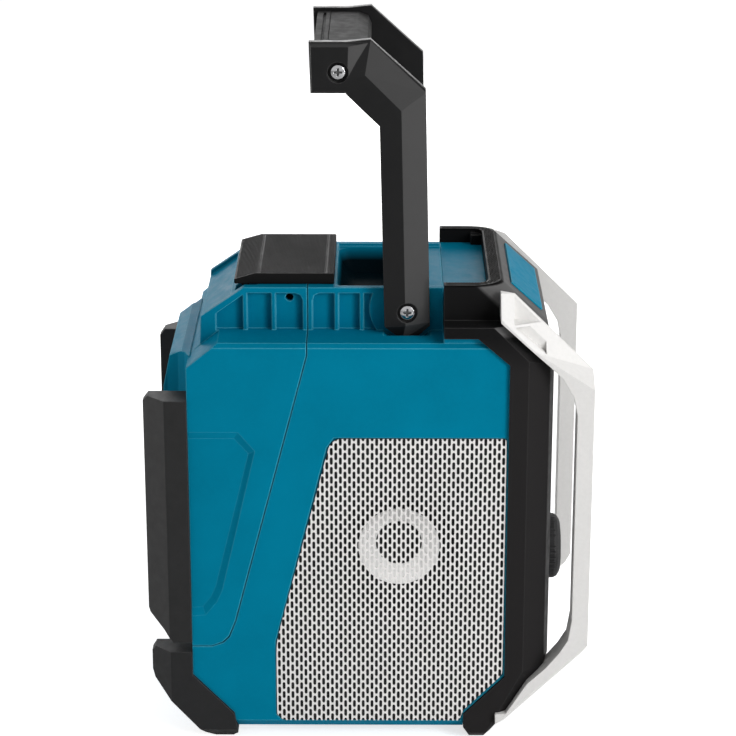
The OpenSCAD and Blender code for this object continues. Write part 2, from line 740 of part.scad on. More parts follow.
speaker_x = side_hw - wall;
basket_depth = 26;
magnet_d = 52;
module speaker_frame() {
  r = speaker_d / 2;
  color(black) difference() {
    along_x(speaker_x - basket_depth) rotate_extrude() polygon([[magnet_d / 2 - 8, 0], [magnet_d / 2, 0],
      [r - 6, basket_depth - 6], [r - 6, basket_depth - 2], [r, basket_depth - 2], [r, basket_depth],
      [r - 5, basket_depth], [r - 5, basket_depth - 2], [r - 9, basket_depth - 2],
      [r - 9, basket_depth - 6], [magnet_d / 2 - 1, 2], [magnet_d / 2 - 8, 2]]);
    // windows in the basket
    for (a = [0:60:300]) along_x(speaker_x - basket_depth + 4) rotate([0, 0, a])
      block([magnet_d / 2 + 1, -7, 0], [r - 7, 7, basket_depth - 13]);
  }
}
module speaker_frame_left() { mirror([1, 0, 0]) speaker_frame(); }
module speaker_frame_right() { speaker_frame(); }

module speaker_cone() {
  r = speaker_d / 2;
  top = basket_depth - 2;
  c = cone_d / 2;
  k = cap_d / 2;
  along_x(speaker_x - basket_depth) {
    color(black) rotate_extrude() polygon([[c, 17.5], [c + 3.5, 19.8], [r - 11, 20.4], [r - 9.4, top],
      [r - 5.2, top], [r - 5.2, top + 1], [r - 10.2, top + 1], [r - 11.8, 21.6], [c + 3.2, 21],
      [c, 18.6]]);
    color(ivory) rotate_extrude() polygon([[k - 2, 8], [k, 8], [c, 17.5], [c, 18.6], [k - 2, 9.2]]);
    color(black) rotate_extrude() polygon([[0, 11], [0, 12.5], [k * 0.6, 11], [k - 2, 9.2],
      [k - 2, 2], [k - 3.5, 2], [k - 3.5, 8.2], [k * 0.5, 10]]);
  }
}
module speaker_cone_left() { mirror([1, 0, 0]) speaker_cone(); }
module speaker_cone_right() { speaker_cone(); }

module speaker_magnets() {
  color(dark) both() along_x(speaker_x - basket_depth - 13) difference() {
    union() {
      cylinder(h = 2.5, d = magnet_d - 2);
      translate([0, 0, 2.5]) cylinder(h = 8, d = magnet_d);
      translate([0, 0, 10.5]) cylinder(h = 2.5, d = magnet_d - 2);
    }
    translate([0, 0, -1]) cylinder(h = 20, d = 8);
  }
}

// ---- screws of the casing ------------------------------------------------

frame_screw_x = 54;
frame_screw_z = [60, 222];
tab_t = 4;                          // thickness of the frame's screw tabs
foot_screw_z = 54;
bumper_mid = (bumper_in + frame_hw) / 2;

module casing_screw_holes(d) {
  both() for (z = frame_screw_z) rod_y(frame_y - 6, frame_y + 14, frame_screw_x, z, d);
}
module foot_screw_holes(d) {
  both() rod_y(rear_y - wall - 1, rear_y + 10, bumper_mid, foot_screw_z, d);
}
module screw_y(y, x, z, d, head_d, len) {
  translate([x, y, z]) rotate([0, 0, 90]) screw_x(0, 0, 0, d, head_d, len);
}
module casing_screws() {
  color(steel) both() {
    for (z = frame_screw_z) mirror([0, 1, 0])
      screw_y(tab_t + 2.5 - frame_y, frame_screw_x, z, 2.5, 5.5, 18);
    mirror([0, 1, 0]) screw_y(-(rear_y - wall - 2.5), bumper_mid, foot_screw_z, 2.5, 5.5, 13);
  }
}

// ---- rear feet and bumpers -----------------------------------------------

foot_top_z = split_z - 3;
bumper_plan = [[bumper_in, rear_y - 30], [bumper_in, bumper_y], [bumper_in + 6, bumper_y],
  [frame_hw, bumper_y - 13.5], [frame_hw, rear_y - 30]];

module rear_foot() {
  color(black) difference() {
    intersection() {
      side([[rear_y, foot_top_z], [rear_y, 44], [rear_y - 25, 18], [rear_y - 27, belly_z],
        [rear_y - 27, 3], [rear_y - 24, 0], [rear_y - 13, 0], [rear_y - 7, 3.5],
        [bumper_y - 3, 38], [bumper_y - 1.5, 43], [bumper_y - 1.5, foot_top_z - 4],
        [bumper_y - 4, foot_top_z]], bumper_in, frame_hw);
      linear_extrude(foot_top_z + 1) polygon(bumper_plan);
      front([[bumper_in, -1], [frame_hw - 7, -1], [frame_hw - 7, 0], [frame_hw, 7],
        [frame_hw, 70], [bumper_in, 70]], 0, bumper_y + 1);
    }
    foot_screw_holes(2.5);
  }
}
module rear_foot_left() { mirror([1, 0, 0]) rear_foot(); }
module rear_foot_right() { rear_foot(); }

bumper_screw_z = [92, 200];
module bumper_screw_holes(d) {
  both() for (z = bumper_screw_z) rod_y(rear_y - wall - 1, rear_y + 11, bumper_mid, z, d);
}

module bumper() {
  z0 = split_z + 3.5;
  color(black) difference() {
    intersection() {
      side([[rear_y, z0], [hinge_y - 0.6, z0], [hinge_y + 5, z0 + 7], [bumper_y - 1, z0 + 15],
        [bumper_y, z0 + 18], [bumper_y, bumper_top_z - 4], [bumper_y - 3, bumper_top_z],
        [rear_y, bumper_top_z]], bumper_in, frame_hw);
      translate([0, 0, z0 - 1]) linear_extrude(bumper_top_z) polygon(bumper_plan);
    }
    bumper_screw_holes(2.5);
  }
}
module bumper_left() { mirror([1, 0, 0]) bumper(); }
module bumper_right() { bumper(); }

module bumper_screws() {
  color(steel) both() for (z = bumper_screw_z)
    mirror([0, 1, 0]) screw_y(-(rear_y - wall - 2.5), bumper_mid, z, 2.5, 5.5, 13);
}

// ---- battery cover -------------------------------------------------------

latch_pivot_z = top_z + 1.4;
latch_tail_y = latch_pivot_y + 6.5; // rear end of the latch
latch_tail_r = 7.3;                 // radius that its tail sweeps

module rear_cover() {
  color(body_blue) difference() {
    union() {
      difference() {
        union() {
          difference() {
            casing_outside();
            before_seam(seam_gap);
            casing_inside_of_cover();
            both() rib_field(seam_top_y + 2.6 + seam_gap, top_rear_y - 9, [56, 73], true);
            both() side_recess();
          }
          // wall under the latch's tail
          intersection() {
            casing_outside();
            rod_x(-latch_hw - 3, latch_hw + 3, latch_pivot_y, latch_pivot_z, 2 * (latch_tail_r + 4));
          }
        }
        deck();
      }
      hump(0);
      // lugs for the latch pin
      both() difference() {
        union() {
          rod_x(latch_lug_x, latch_lug_x + 6, latch_pivot_y, latch_pivot_z, latch_lug_d);
          block([latch_lug_x, latch_pivot_y - latch_lug_d / 2, top_z - 10],
            [latch_lug_x + 6, latch_pivot_y + latch_lug_d / 2, latch_pivot_z]);
        }
      }
      // knuckles of the hinge
      both() hinge_knuckle(24.4, 34);
    }
    // trough that the latch's tail turns in, past the lugs
    trough(-latch_lug_x + 0.4, latch_lug_x - 0.4);
    both() trough(latch_lug_x + 6.4, latch_hw + 0.6);
    rod_x(-latch_hw - 1, latch_hw + 1, latch_pivot_y, latch_pivot_z, latch_pin_d);
    both() rod_x(24, 36, hinge_y, hinge_z, hinge_pin_d + 2 * run_gap);
    hump(wall);
    // small vent beside the recess
    both() rod_x(top_in_hw - 1, top_hw, seam_top_y + 11, top_z - 7, 4.7);
    bumper_screw_holes(2.5);
  }
}

module casing_inside_of_cover() {
  intersection() {
    casing_inside();
    block([-big, -big, seam_low_z + 1], [big, big, big]);
  }
  intersection() {
    casing_inside();
    side([[rear_y - 11, split_z + wall + 1], [rear_y, split_z + wall + 1], [rear_y, 120],
      [seam_low_y + 8, 120], [seam_low_y + 8, seam_low_z]], -side_hw, side_hw);
  }
}

latch_lug_x = 26;
latch_lug_d = latch_pin_d + 2;
module trough(x0, x1) {
  rod_x(x0, x1, latch_pivot_y, latch_pivot_z, 2 * (latch_tail_r + 0.7));
}

// Shallow recess in the cover's side, bevelled all round
module side_recess() {
  y1 = rear_y + 3;
  hull() {
    side([[67, 190], [77, 202], [y1, 202], [y1, 82.5], [98.5, 83.5], [91.5, 92], [88, 100]],
      side_hw - 0.01, side_hw + 1);
    side([[71, 188], [79.5, 197.5], [y1, 197.5], [y1, 87.5], [100, 88.5], [95, 95], [92, 102]],
      side_hw - 1.7, side_hw + 1);
  }
}

// Arm and barrel of the cover's hinge
module hinge_knuckle(x0, x1) {
  rod_x(x0, x1, hinge_y, hinge_z, knuckle_d);
  side([[rear_y - wall, split_z + 1.5], [rear_y - wall, split_z + 14], [rear_y, split_z + 14],
    [hinge_y + 3, hinge_z + 3.2], [hinge_y, hinge_z], [rear_y + 3, split_z + 1.2]], x0, x1);
}

module hinge_pin() {
  color(steel) both() rod_x(13.5, 34.5, hinge_y, hinge_z, hinge_pin_d);
}

// Soft lip along the cover's front edge, inside both side walls and the roof
module cover_seal() {
  d = seam_gap + 0.3;
  color(black) both() difference() {
    side([[seam_low_y + d, seam_low_z + 6], [seam_top_y + 3.2 + d, 240], [seam_top_y + 6 + d, 240],
      [seam_low_y + 3 + d, seam_low_z + 6]], side_hw - wall - 1.6, side_hw - wall);
  }
}

module latch_pin() {
  color(steel) rod_x(-latch_hw + 2.5, latch_hw - 1, latch_pivot_y, latch_pivot_z, latch_pin_d);
}

// ---- latch ---------------------------------------------------------------

latch_z1 = top_z + latch_h;
lip_hw = 18;
latch_z0 = top_z + 0.4;
module latch() {
  color(black) difference() {
    union() {
      side([[latch_front_y, latch_z0], [latch_front_y, latch_z1 - 0.6], [latch_front_y + 0.6, latch_z1],
        [latch_pivot_y - 6, latch_z1], [latch_tail_y, latch_z1 - 3.6], [latch_tail_y, latch_z0 + 0.6],
        [latch_tail_y - 0.6, latch_z0]], -latch_hw, latch_hw);
      // eye round the pin
      rod_x(-latch_hw + 2, latch_hw - 2, latch_pivot_y, latch_pivot_z, 6);
      // shallow lip that snaps into the groove of the raised top
      side([[latch_front_y + 1.6, latch_z0 + 0.2], [latch_front_y + 2, latch_z0 - 1.2],
        [latch_front_y + 3.6, latch_z0 - 1.2], [latch_front_y + 9, latch_z0 + 0.2]], -lip_hw, lip_hw);
    }
    // hollow underside
    block([2.5 - latch_hw, latch_front_y + 10, latch_z0 - 1],
      [latch_hw - 2.5, latch_pivot_y - 9, latch_z0 + 3]);
    // slots for the lugs
    both() {
      rod_x(latch_lug_x - 0.4, latch_lug_x + 6.4, latch_pivot_y, latch_pivot_z, latch_lug_d + 0.6);
      block([latch_lug_x - 0.4, latch_pivot_y - latch_lug_d / 2 - 0.3, latch_z0 - 9],
        [latch_lug_x + 6.4, latch_tail_y + 1, latch_pivot_z + 1.2]);
    }
    // seat of the pad
    block([3 - latch_hw, latch_front_y + 5, latch_z1 - 0.8],
      [latch_hw - 3, latch_pivot_y - 8, latch_z1 + 1]);
    rod_x(-latch_hw + 2, latch_hw + 1, latch_pivot_y, latch_pivot_z, latch_pin_d + 2 * run_gap);
  }
}

module latch_pad() {
  color(dark) block([3.2 - latch_hw, latch_front_y + 5.2, latch_z1 - 0.8],
    [latch_hw - 3.2, latch_pivot_y - 8.2, latch_z1]);
}

// ---- handle --------------------------------------------------------------

lean = 3.4;                         // how far the arm's top stands behind its foot
elbow_z = handle_z - 29;
arm_outline = [[pivot_y - arm_w / 2, pivot_z - 9], [pivot_y - arm_w / 2 + lean, elbow_z],
  [-1.7, handle_z], [12, handle_z - 1.5], [33.8, handle_z - 1.5], [33, handle_z - block_h - 1.5],
  [12.5, handle_z - block_h - 1.5], [pivot_y + arm_w / 2 + lean - 0.4, handle_z - 49],
  [pivot_y + arm_w / 2, pivot_z - 9], [pivot_y + 3, pivot_z - 18.4], [pivot_y - 4, pivot_z - 17.5]];
grip_screw = [17, handle_z - 18.5];

module handle_arm() {
  ridge = arm_t - 4.2;
  color(black) difference() {
    union() {
      side(arm_outline, arm_in, arm_in + ridge);
      // raised faces along the rear edge, sloping down to the front edge
      hull() {
        side([[pivot_y - 13.4, pivot_z - 7], [pivot_y - 10.2, elbow_z - 2],
          [pivot_y + 16.4, handle_z - 49], [pivot_y + 13.4, pivot_z - 9],
          [pivot_y + 3, pivot_z - 17.8]], arm_in, arm_in + ridge);
        side([[pivot_y + 1, pivot_z - 8], [pivot_y + 4, elbow_z - 12], [pivot_y + 16.5, handle_z - 50],
          [pivot_y + 13.4, pivot_z - 8.5]], arm_in, arm_out);
      }
      hull() {
        side([[pivot_y - 10.2, elbow_z - 2], [-1.7, handle_z - 0.8], [12, handle_z - 2],
          [12.5, handle_z - 31], [pivot_y + 16.4, handle_z - 49]], arm_in, arm_in + ridge);
        side([[pivot_y + 4, elbow_z - 12], [1.5, handle_z - 20], [12, handle_z - 22], [12.5, handle_z - 31],
          [pivot_y + 16.5, handle_z - 50]], arm_in, arm_out);
      }
      hull() {
        side([[-1, handle_z - 2], [33.4, handle_z - 2], [32.6, handle_z - 31], [12, handle_z - 31]],
          arm_in, arm_in + ridge);
        side([[11, handle_z - 3.5], [32.6, handle_z - 3.5], [32, handle_z - 30], [12, handle_z - 30]],
          arm_in, arm_out);
      }
    }
    rod_x(arm_in - 1, arm_out + 1, pivot_y, pivot_z, bush_d);
    rod_x(arm_out - screw_sink, arm_out + 1, pivot_y, pivot_z, screw_recess_d);
    rod_x(arm_in - 1, arm_out + 1, grip_screw[0], grip_screw[1], 4);
    rod_x(arm_out - screw_sink, arm_out + 1, grip_screw[0], grip_screw[1], screw_recess_d);
  }
}
screw_sink = 3.6;
bush_d = pivot_d + 2;
module handle_arm_left() { mirror([1, 0, 0]) handle_arm(); }
module handle_arm_right() { handle_arm(); }

grip_front = -1;
grip_rear = 31;
grip_top = handle_z - 3.6;
module handle_grip() {
  color(black) difference() {
    side([[grip_front, grip_top - 6], [grip_front + 3, grip_top - 2.4], [grip_rear - 8, grip_top - 2.4],
      [grip_rear - 8, grip_top], [grip_rear, grip_top], [grip_rear, grip_top - 22],
      [grip_rear - 4, grip_top - 26], [15, grip_top - 26], [grip_front + 8, grip_top - 21]],
      -arm_in, arm_in);
    both() rod_x(arm_in - 16, arm_in + 1, grip_screw[0], grip_screw[1], 3);
    // groove beside the rear lip
    block([5 - arm_in, grip_rear - 5.4, grip_top - 1.2], [arm_in - 5, grip_rear - 3.8, grip_top + 1]);
  }
}

module grip_pad() {
  color(dark) difference() {
    side([[grip_front - 1, grip_top - 7], [grip_front + 1, grip_top - 2.2], [grip_front + 7, grip_top],
      [grip_rear - 8.3, grip_top], [grip_rear - 8.3, grip_top - 2.4], [grip_front + 3, grip_top - 2.4],
      [grip_front, grip_top - 6], [grip_front, grip_top - 8]], 2 - arm_in, arm_in - 2);
  }
}

module grip_screws() {
  color(steel) both()
    screw_x(arm_out - screw_sink + 2.5, grip_screw[0], grip_screw[1], 3, screw_head_d, 18);
}

// The bushes turn with the arms on the pivot screws
module pivot_bushes() {
  color(steel) both() difference() {
    rod_x(arm_in, arm_out - screw_sink, pivot_y, pivot_z, bush_d);
    rod_x(arm_in - 1, arm_out, pivot_y, pivot_z, pivot_d + 2 * run_gap);
  }
}

module pivot_screws() {
  x = arm_out - screw_sink + 0.2;
  color(steel) both() {
    rod_x(top_in_hw - boss_reach, x, pivot_y, pivot_z, pivot_d);
    screw_x(x + 2.4, pivot_y, pivot_z, pivot_d, screw_head_d, 3);
  }
}

// ---- sockets -------------------------------------------------------------

socket_z = 51;
module dc_socket() {
  color(black) difference() {
    union() {
      block([-6.8, rear_y - 14, socket_z - 5.8], [6.8, rear_y - 0.4, socket_z + 5.8]);
      block([-9, rear_y - wall - 2, socket_z - 5.5], [9, rear_y - wall, socket_z + 7.5]);
    }
    rod_y(rear_y - 10, rear_y, 0, socket_z, 6.5);
  }
  color(steel) rod_y(rear_y - 11, rear_y - 3, 0, socket_z, 2);
}

usb_z = 103.5;
module usb_socket() {
  color(steel) difference() {
    union() {
      block([-7.5, bay_y - 11, usb_z - 3.5], [7.5, bay_y + 2.3, usb_z + 3.5]);
      block([-9.5, bay_y - 1, usb_z - 5.5], [9.5, bay_y + 0.3, usb_z + 5.5]);
    }
    block([-6.5, bay_y - 8, usb_z - 2.5], [6.5, bay_y + 3, usb_z + 2.5]);
  }
  color(ivory) block([-5.5, bay_y - 9, usb_z - 0.1], [5.5, bay_y + 1, usb_z + 1.3]);
}

flap_y = rear_y + 2.4;
flap_pin_x = 15.5;
flap_pin_d = 2.2;
flap_z = socket_z + 8.4;
module socket_flap() {
  color(black) {
    difference() {
      union() {
        block([-10, rear_y + 0.3, socket_z - 6.8], [10, rear_y + 2.6, flap_z]);
        rod_x(-13.6, 13.6, flap_y, flap_z, 3);
        rod_x(-flap_pin_x, flap_pin_x, flap_y, flap_z, flap_pin_d);
        block([-4, rear_y + 2.5, socket_z - 7.8], [4, rear_y + 4, socket_z - 4.6]);
      }
    }
    // plug that fills the socket's mouth
    rod_y(rear_y - 1.2, rear_y + 0.4, 0, socket_z, 5.6);
  }
}

// ---- dial and buttons ----------------------------------------------------

dial_gap = 0.8;
module dial() {
  r = dial_d / 2;
  y0 = panel_y - dial_gap;
  color(black) difference() {
    translate([0, y0, dial_z]) rotate([90, 0, 0]) rotate_extrude($fn = 96)
      polygon([[0, 0], [r - 1, 0], [r, 1], [r, dial_h - 4.5], [r - 1.2, dial_h - 2.4],
        [r - 3.6, dial_h - 0.9], [r - 5, dial_h - 0.4], [r - 6, dial_h - 1.4], [0, dial_h - 1.4]]);
    // knurls round the edge
    for (a = [0:10:350]) translate([0, y0 + 1, dial_z]) rotate([90, a, 0])
      translate([r + 0.5, 0, 2]) cylinder(h = dial_h + 2, d = 2, $fn = 16);
    rod_y(y0 - dial_h + 4, y0 + 1, 0, dial_z, dial_shaft_d);
  }
}

module dial_shaft() {
  color(steel) rod_y(panel_y - dial_gap - dial_h + 4, board_y - 0.4, 0, dial_z, dial_shaft_d);
}

preset_z = 146;
side_buttons = [[-40, 118], [40, 118], [-40, 77], [40, 77]];
function preset_x(i) = (i - 2) * 19;

module button_shape(x, z, w, h, g, len) {
  block([x - w / 2 - g, panel_y - 1.6, z - h / 2 - g], [x + w / 2 + g, panel_y - 1.6 + len, z + h / 2 + g]);
}
module button(x, z, w, h) {
  color(dark) union() {
    button_shape(x, z, w, h, 0, 5.3 + 1.6 - button_gap);
    block([x - w / 2 - 1.5, panel_y + 3.5 + 0.2, z - h / 2 - 1.5],
      [x + w / 2 + 1.5, panel_y + 3.5 + 1.6, z + h / 2 + 1.5]);
  }
}
module preset(i) { button(preset_x(i), preset_z, preset_w, preset_h); }
module preset_1() { preset(0); }
module preset_2() { preset(1); }
module preset_3() { preset(2); }
module preset_4() { preset(3); }
module preset_5() { preset(4); }
module side_button(i) { button(side_buttons[i][0], side_buttons[i][1], 15, 10); }
module power_button() { side_button(0); }
module source_button() { side_button(1); }
module menu_button() { side_button(2); }
module mute_button() { side_button(3); }

housing();
battery_bay();
front_frame();
top_tray();
front_panel();
label_plate();
display_lens();
display_module();
control_board();
dome_switches();
encoder();
main_board();
guard_left();
guard_right();
guard_screws();
grille_left();
grille_right();
grille_foam_left();
grille_foam_right();
speaker_frame_left();
speaker_frame_right();
speaker_cone_left();
speaker_cone_right();
speaker_magnets();
rear_foot_left();
rear_foot_right();
casing_screws();
pivot_screws();
dc_socket();
usb_socket();
battery_terminals();
hinge_brackets();
hinge_pin();
rear_cover();
cover_seal();
bumper_left();
bumper_right();
bumper_screws();
latch_pin();
latch();
latch_pad();
handle_arm_left();
handle_arm_right();
handle_grip();
grip_pad();
grip_screws();
pivot_bushes();
dial();
dial_shaft();
preset_1();
preset_2();
preset_3();
preset_4();
preset_5();
power_button();
source_button();
menu_button();
mute_button();
socket_flap();
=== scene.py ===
import json
import math

import bmesh
import bpy
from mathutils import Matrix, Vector
from mathutils.geometry import delaunay_2d_cdt

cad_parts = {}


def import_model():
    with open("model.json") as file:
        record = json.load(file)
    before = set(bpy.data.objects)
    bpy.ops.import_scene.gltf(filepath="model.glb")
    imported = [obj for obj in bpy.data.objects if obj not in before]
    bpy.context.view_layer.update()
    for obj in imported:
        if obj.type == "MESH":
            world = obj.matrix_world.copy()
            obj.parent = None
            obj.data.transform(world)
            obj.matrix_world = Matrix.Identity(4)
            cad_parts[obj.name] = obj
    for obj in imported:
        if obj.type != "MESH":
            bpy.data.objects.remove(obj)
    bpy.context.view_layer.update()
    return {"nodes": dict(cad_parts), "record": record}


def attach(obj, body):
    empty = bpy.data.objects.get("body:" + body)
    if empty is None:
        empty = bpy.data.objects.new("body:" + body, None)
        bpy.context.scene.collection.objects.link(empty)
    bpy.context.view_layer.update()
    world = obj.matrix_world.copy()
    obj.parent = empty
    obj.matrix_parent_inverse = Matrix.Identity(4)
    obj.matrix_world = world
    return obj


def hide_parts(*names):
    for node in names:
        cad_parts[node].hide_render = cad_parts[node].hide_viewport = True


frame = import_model()

MM = 0.001
SIDES = ((-1, "left"), (1, "right"))

# ---- sizes shared with the solids, in millimetres ---------------------------

SIDE_HW = 77.0                           # half the width that the grille sheets lie on
SPEAKER_Y, SPEAKER_Z = -19.0, 124.5      # axis of both speakers
DECK_TOP, DECK_UNDER = 281.5, 278.5      # both faces of the casing's top
BELLY_Z = 6.5                            # casing's underside
PANEL_Y, GLASS_Y, BUTTON_Y, DIAL_FACE_Y = -108.0, -107.6, -109.6, -120.4
DIAL_Z = 97.5

# ---- materials ----------------------------------------------------------------

# painted light: on the next two lines the last colour is a painted highlight along rounded edges, and the
# deep blue is painted shade towards the floor of the finger recess
BLUE, RECESS_SHADE_BLUE, EDGE_HIGHLIGHT_BLUE = (0.0, 0.203, 0.335), (0.0008, 0.005, 0.0075), (0.08, 0.45, 0.60)
BLACK, DEEP_BLACK, EDGE_HIGHLIGHT_BLACK = (0.0095, 0.0095, 0.0098), (0.004, 0.0038, 0.0038), (0.055, 0.054, 0.054)
# painted highlights: the first colour on each of the next two lines pales faces that slant towards the light,
# and the last colour on the second line lies along rubber edges
SLANT_HIGHLIGHT_BLACK, SIDE_BLACK = (0.055, 0.0545, 0.0545), (0.021, 0.020, 0.0203)
SLANT_HIGHLIGHT_RUBBER, EDGE_HIGHLIGHT_RUBBER = (0.025, 0.0245, 0.0245), (0.045, 0.045, 0.045)
# painted shade: the dark steel lines the deep part of the screw heads' cross recesses
STEEL, RECESS_SHADE_STEEL = (0.42, 0.42, 0.43), (0.10, 0.10, 0.10)
# painted light: the glow of the pale cone ring, from its bottom to its top
GLOW, DIM_GLOW = (0.27, 0.27, 0.27), (0.048, 0.048, 0.048)

# scales of the noises, in waves per metre
MOTTLE, SHEEN, SPECKS, SCRATCHES = 28, 160, 420, 500
NOISE_ROUGHNESS = 0.55
# stretches of a noise that ramps spread out, and how strongly the specks lighten a colour
NOISE_SPAN, SPECK_SPAN = (0.3, 0.7), (0.35, 0.75)
SPECK_SHARE, SPECK_SHADE = 0.35, 1.12
# cosines between which a mask goes from 0 to 1: along rounded edges, and at both limits of a slanted face
EDGE_SPAN, LEAST_SLANT, MOST_SLANT = (0.995, 0.90), (0.08, 0.19), (0.98, 0.93)
SLANT_FADE = 3
SMOOTHER, ROUGHER, GRAIN_STRENGTH = 0.06, 0.08, 0.6
RING_GLOW_Z = (104, 152)


class Look:
    """One procedural material on object coordinates, with lengths in millimetres."""

    def __init__(self, name, color, rough, spec=0.5):
        self.mat = bpy.data.materials.new(name)
        self.mat.use_nodes = True
        self.nodes, self.links = self.mat.node_tree.nodes, self.mat.node_tree.links
        self.nodes.clear()
        self.out = self.node("ShaderNodeOutputMaterial")
        self.shader = self.node("ShaderNodeBsdfPrincipled", {
            "Base Color": color, "Roughness": rough, "Specular IOR Level": spec})
        self.feed(self.out.inputs[0], self.shader.outputs[0])
        self.place = self.node("ShaderNodeTexCoord").outputs["Object"]
        self.normal = None

    def feed(self, socket, source):
        """Links a socket to an output, or sets it to a number, a vector or a colour."""
        if isinstance(source, bpy.types.NodeSocket):
            self.links.new(source, socket)
        elif socket.type == "RGBA":
            socket.default_value = (*source, 1)
        else:
            socket.default_value = source

    def node(self, kind, inputs=None, **settings):
        """Adds a node with its settings and then its inputs, by their names or numbers."""
        made = self.nodes.new(kind)
        for key, value in settings.items():
            setattr(made, key, value)
        for key, source in (inputs or {}).items():
            self.feed(made.inputs[key], source)
        return made

    def put(self, socket, source):
        """Feeds a socket of the shader."""
        self.feed(self.shader.inputs[socket], source)
        return self

    def noise(self, scale, detail):
        """Noise from 0 to 1."""
        return self.node("ShaderNodeTexNoise", {"Vector": self.place, "Scale": scale, "Detail": detail,
                                                "Roughness": NOISE_ROUGHNESS}).outputs["Fac"]

    def ramp(self, fac, start, end, first=0, last=1):
        """Goes from a first to a last value while a factor goes from start to end."""
        return self.node("ShaderNodeMapRange", {"Value": fac, "From Min": start, "From Max": end,
                                                "To Min": first, "To Max": last}).outputs["Result"]

    def height(self, start_z, end_z):
        """Mask that goes from 0 to 1 between two heights."""
        split = self.node("ShaderNodeSeparateXYZ", {0: self.place})
        return self.ramp(split.outputs["Z"], start_z * MM, end_z * MM)

    def facing(self, axis, start, end):
        """Mask that goes from 0 to 1 as the surface turns towards an axis of the object."""
        normal = self.node("ShaderNodeTexCoord").outputs["Normal"]
        turned = self.node("ShaderNodeVectorMath", {0: normal, 1: axis}, operation="DOT_PRODUCT")
        return self.ramp(turned.outputs["Value"], start, end)

    def edges(self):
        """Mask that is 1 along the rounded edges."""
        flat = self.node("ShaderNodeNewGeometry").outputs["Normal"]
        bent = self.node("ShaderNodeVectorMath", {0: self.normal, 1: flat}, operation="DOT_PRODUCT")
        return self.ramp(bent.outputs["Value"], *EDGE_SPAN)

    def calc(self, operation, *terms):
        """Result of a sum on outputs and numbers."""
        return self.node("ShaderNodeMath", dict(enumerate(terms)), operation=operation).outputs[0]

    def mix(self, fac, color_a, color_b):
        """Mixes two colours, each of them a tuple or an output."""
        return self.node("ShaderNodeMix", {"Factor": fac, "A": color_a, "B": color_b},
                         data_type="RGBA").outputs["Result"]

    def layer(self, tone, color, start_z, full_z):
        """Lays a colour over a tone, from none at one height to all of it at another."""
        return self.mix(self.height(start_z, full_z), tone, color)

    def roughen(self, fac, low, high):
        """Lets the roughness wander between two values."""
        return self.put("Roughness", self.ramp(fac, *NOISE_SPAN, low, high))

    def bevel(self, radius):
        """Rounds the shading of sharp edges."""
        self.normal = self.node("ShaderNodeBevel", {"Radius": radius * MM}, samples=4).outputs[0]
        return self.put("Normal", self.normal)

    def bump(self, relief, depth, strength=1.0):
        """Adds relief to the rounded edges."""
        self.normal = self.node("ShaderNodeBump", {"Strength": strength, "Distance": depth * MM,
                                                   "Height": relief, "Normal": self.normal}).outputs[0]
        return self.put("Normal", self.normal)


def shade(color, factor):
    return tuple(c * factor for c in color)


def moulded(name, color, rough, grain=2600, depth=0.05, radius=0.7, mottle=0.06, spec=0.5, edge=None,
            slant=None, axis=(0, -1, 0), slant_z=0.0, under=None, over=None):
    """Moulded plastic: soft edges, slight mottling, and a grain of some scale and depth.

    The colour in edge is a painted highlight on the edges, the one in slant a painted highlight on faces that
    slant to an axis, above slant_z.
    A layer, as a colour with the heights where it starts and is full, goes under both of these or over them.
    """
    look = Look(name, color, rough, spec).bevel(radius)
    clouds = look.ramp(look.noise(MOTTLE, 2), *NOISE_SPAN)
    specks = look.ramp(look.noise(SPECKS, 3), *SPECK_SPAN, 0, SPECK_SHARE)
    tone = look.mix(clouds, shade(color, 1 - mottle), shade(color, 1 + mottle))
    tone = look.mix(specks, tone, shade(color, SPECK_SHADE))
    if under:
        tone = look.layer(tone, *under)
    if edge:
        tone = look.mix(look.edges(), tone, edge)
    if slant:
        tilted = look.calc("MULTIPLY", look.facing(axis, *LEAST_SLANT), look.facing(axis, *MOST_SLANT))
        high = look.height(slant_z - SLANT_FADE, slant_z)
        tone = look.mix(look.calc("MULTIPLY", tilted, high), tone, slant)
    if over:
        tone = look.layer(tone, *over)
    look.put("Base Color", tone)
    look.roughen(look.noise(SHEEN, 4), rough - SMOOTHER, rough + ROUGHER)
    return look.bump(look.noise(grain, 2), depth, GRAIN_STRENGTH)


def black(name, **more):
    """Black plastic of the frame and the handle's arms, with a painted highlight along its edges."""
    return moulded(name, BLACK, 0.38, depth=0.04, mottle=0.1, spec=0.15, radius=1.0, edge=EDGE_HIGHLIGHT_BLACK,
                   **more)


def rubber(name, color, **more):
    # rubber with a painted highlight along its edges
    return moulded(name, color, 0.6, grain=1800, depth=0.07, mottle=0.12, spec=0.3, edge=EDGE_HIGHLIGHT_RUBBER,
                   **more)


def coated(name, color, rough, **more):
    """Thin smooth coat: print, film or paint."""
    return moulded(name, color, rough, grain=3600, **more)


def metal(name, color, radius, smooth, coarse):
    """Bare metal, with its roughness between two values."""
    look = Look(name, color, smooth).bevel(radius).put("Metallic", 1.0)
    return look.roughen(look.noise(SCRATCHES, 3), smooth, coarse)


# the blue shell carries a painted highlight along its edges
blue_shell = moulded("moulded_blue", BLUE, 0.38, radius=1.1, spec=0.10, edge=EDGE_HIGHLIGHT_BLUE).put("IOR", 1.18)
# painted shade: the finger recess's blue darkens to near black towards its floor
scoop_shaded_blue = moulded("scoop_shaded_blue", BLUE, 0.38, radius=0.8, spec=0.05,
                     over=(RECESS_SHADE_BLUE, 285, 274.5)).put("IOR", 1.18)
black_shell = black("moulded_black")
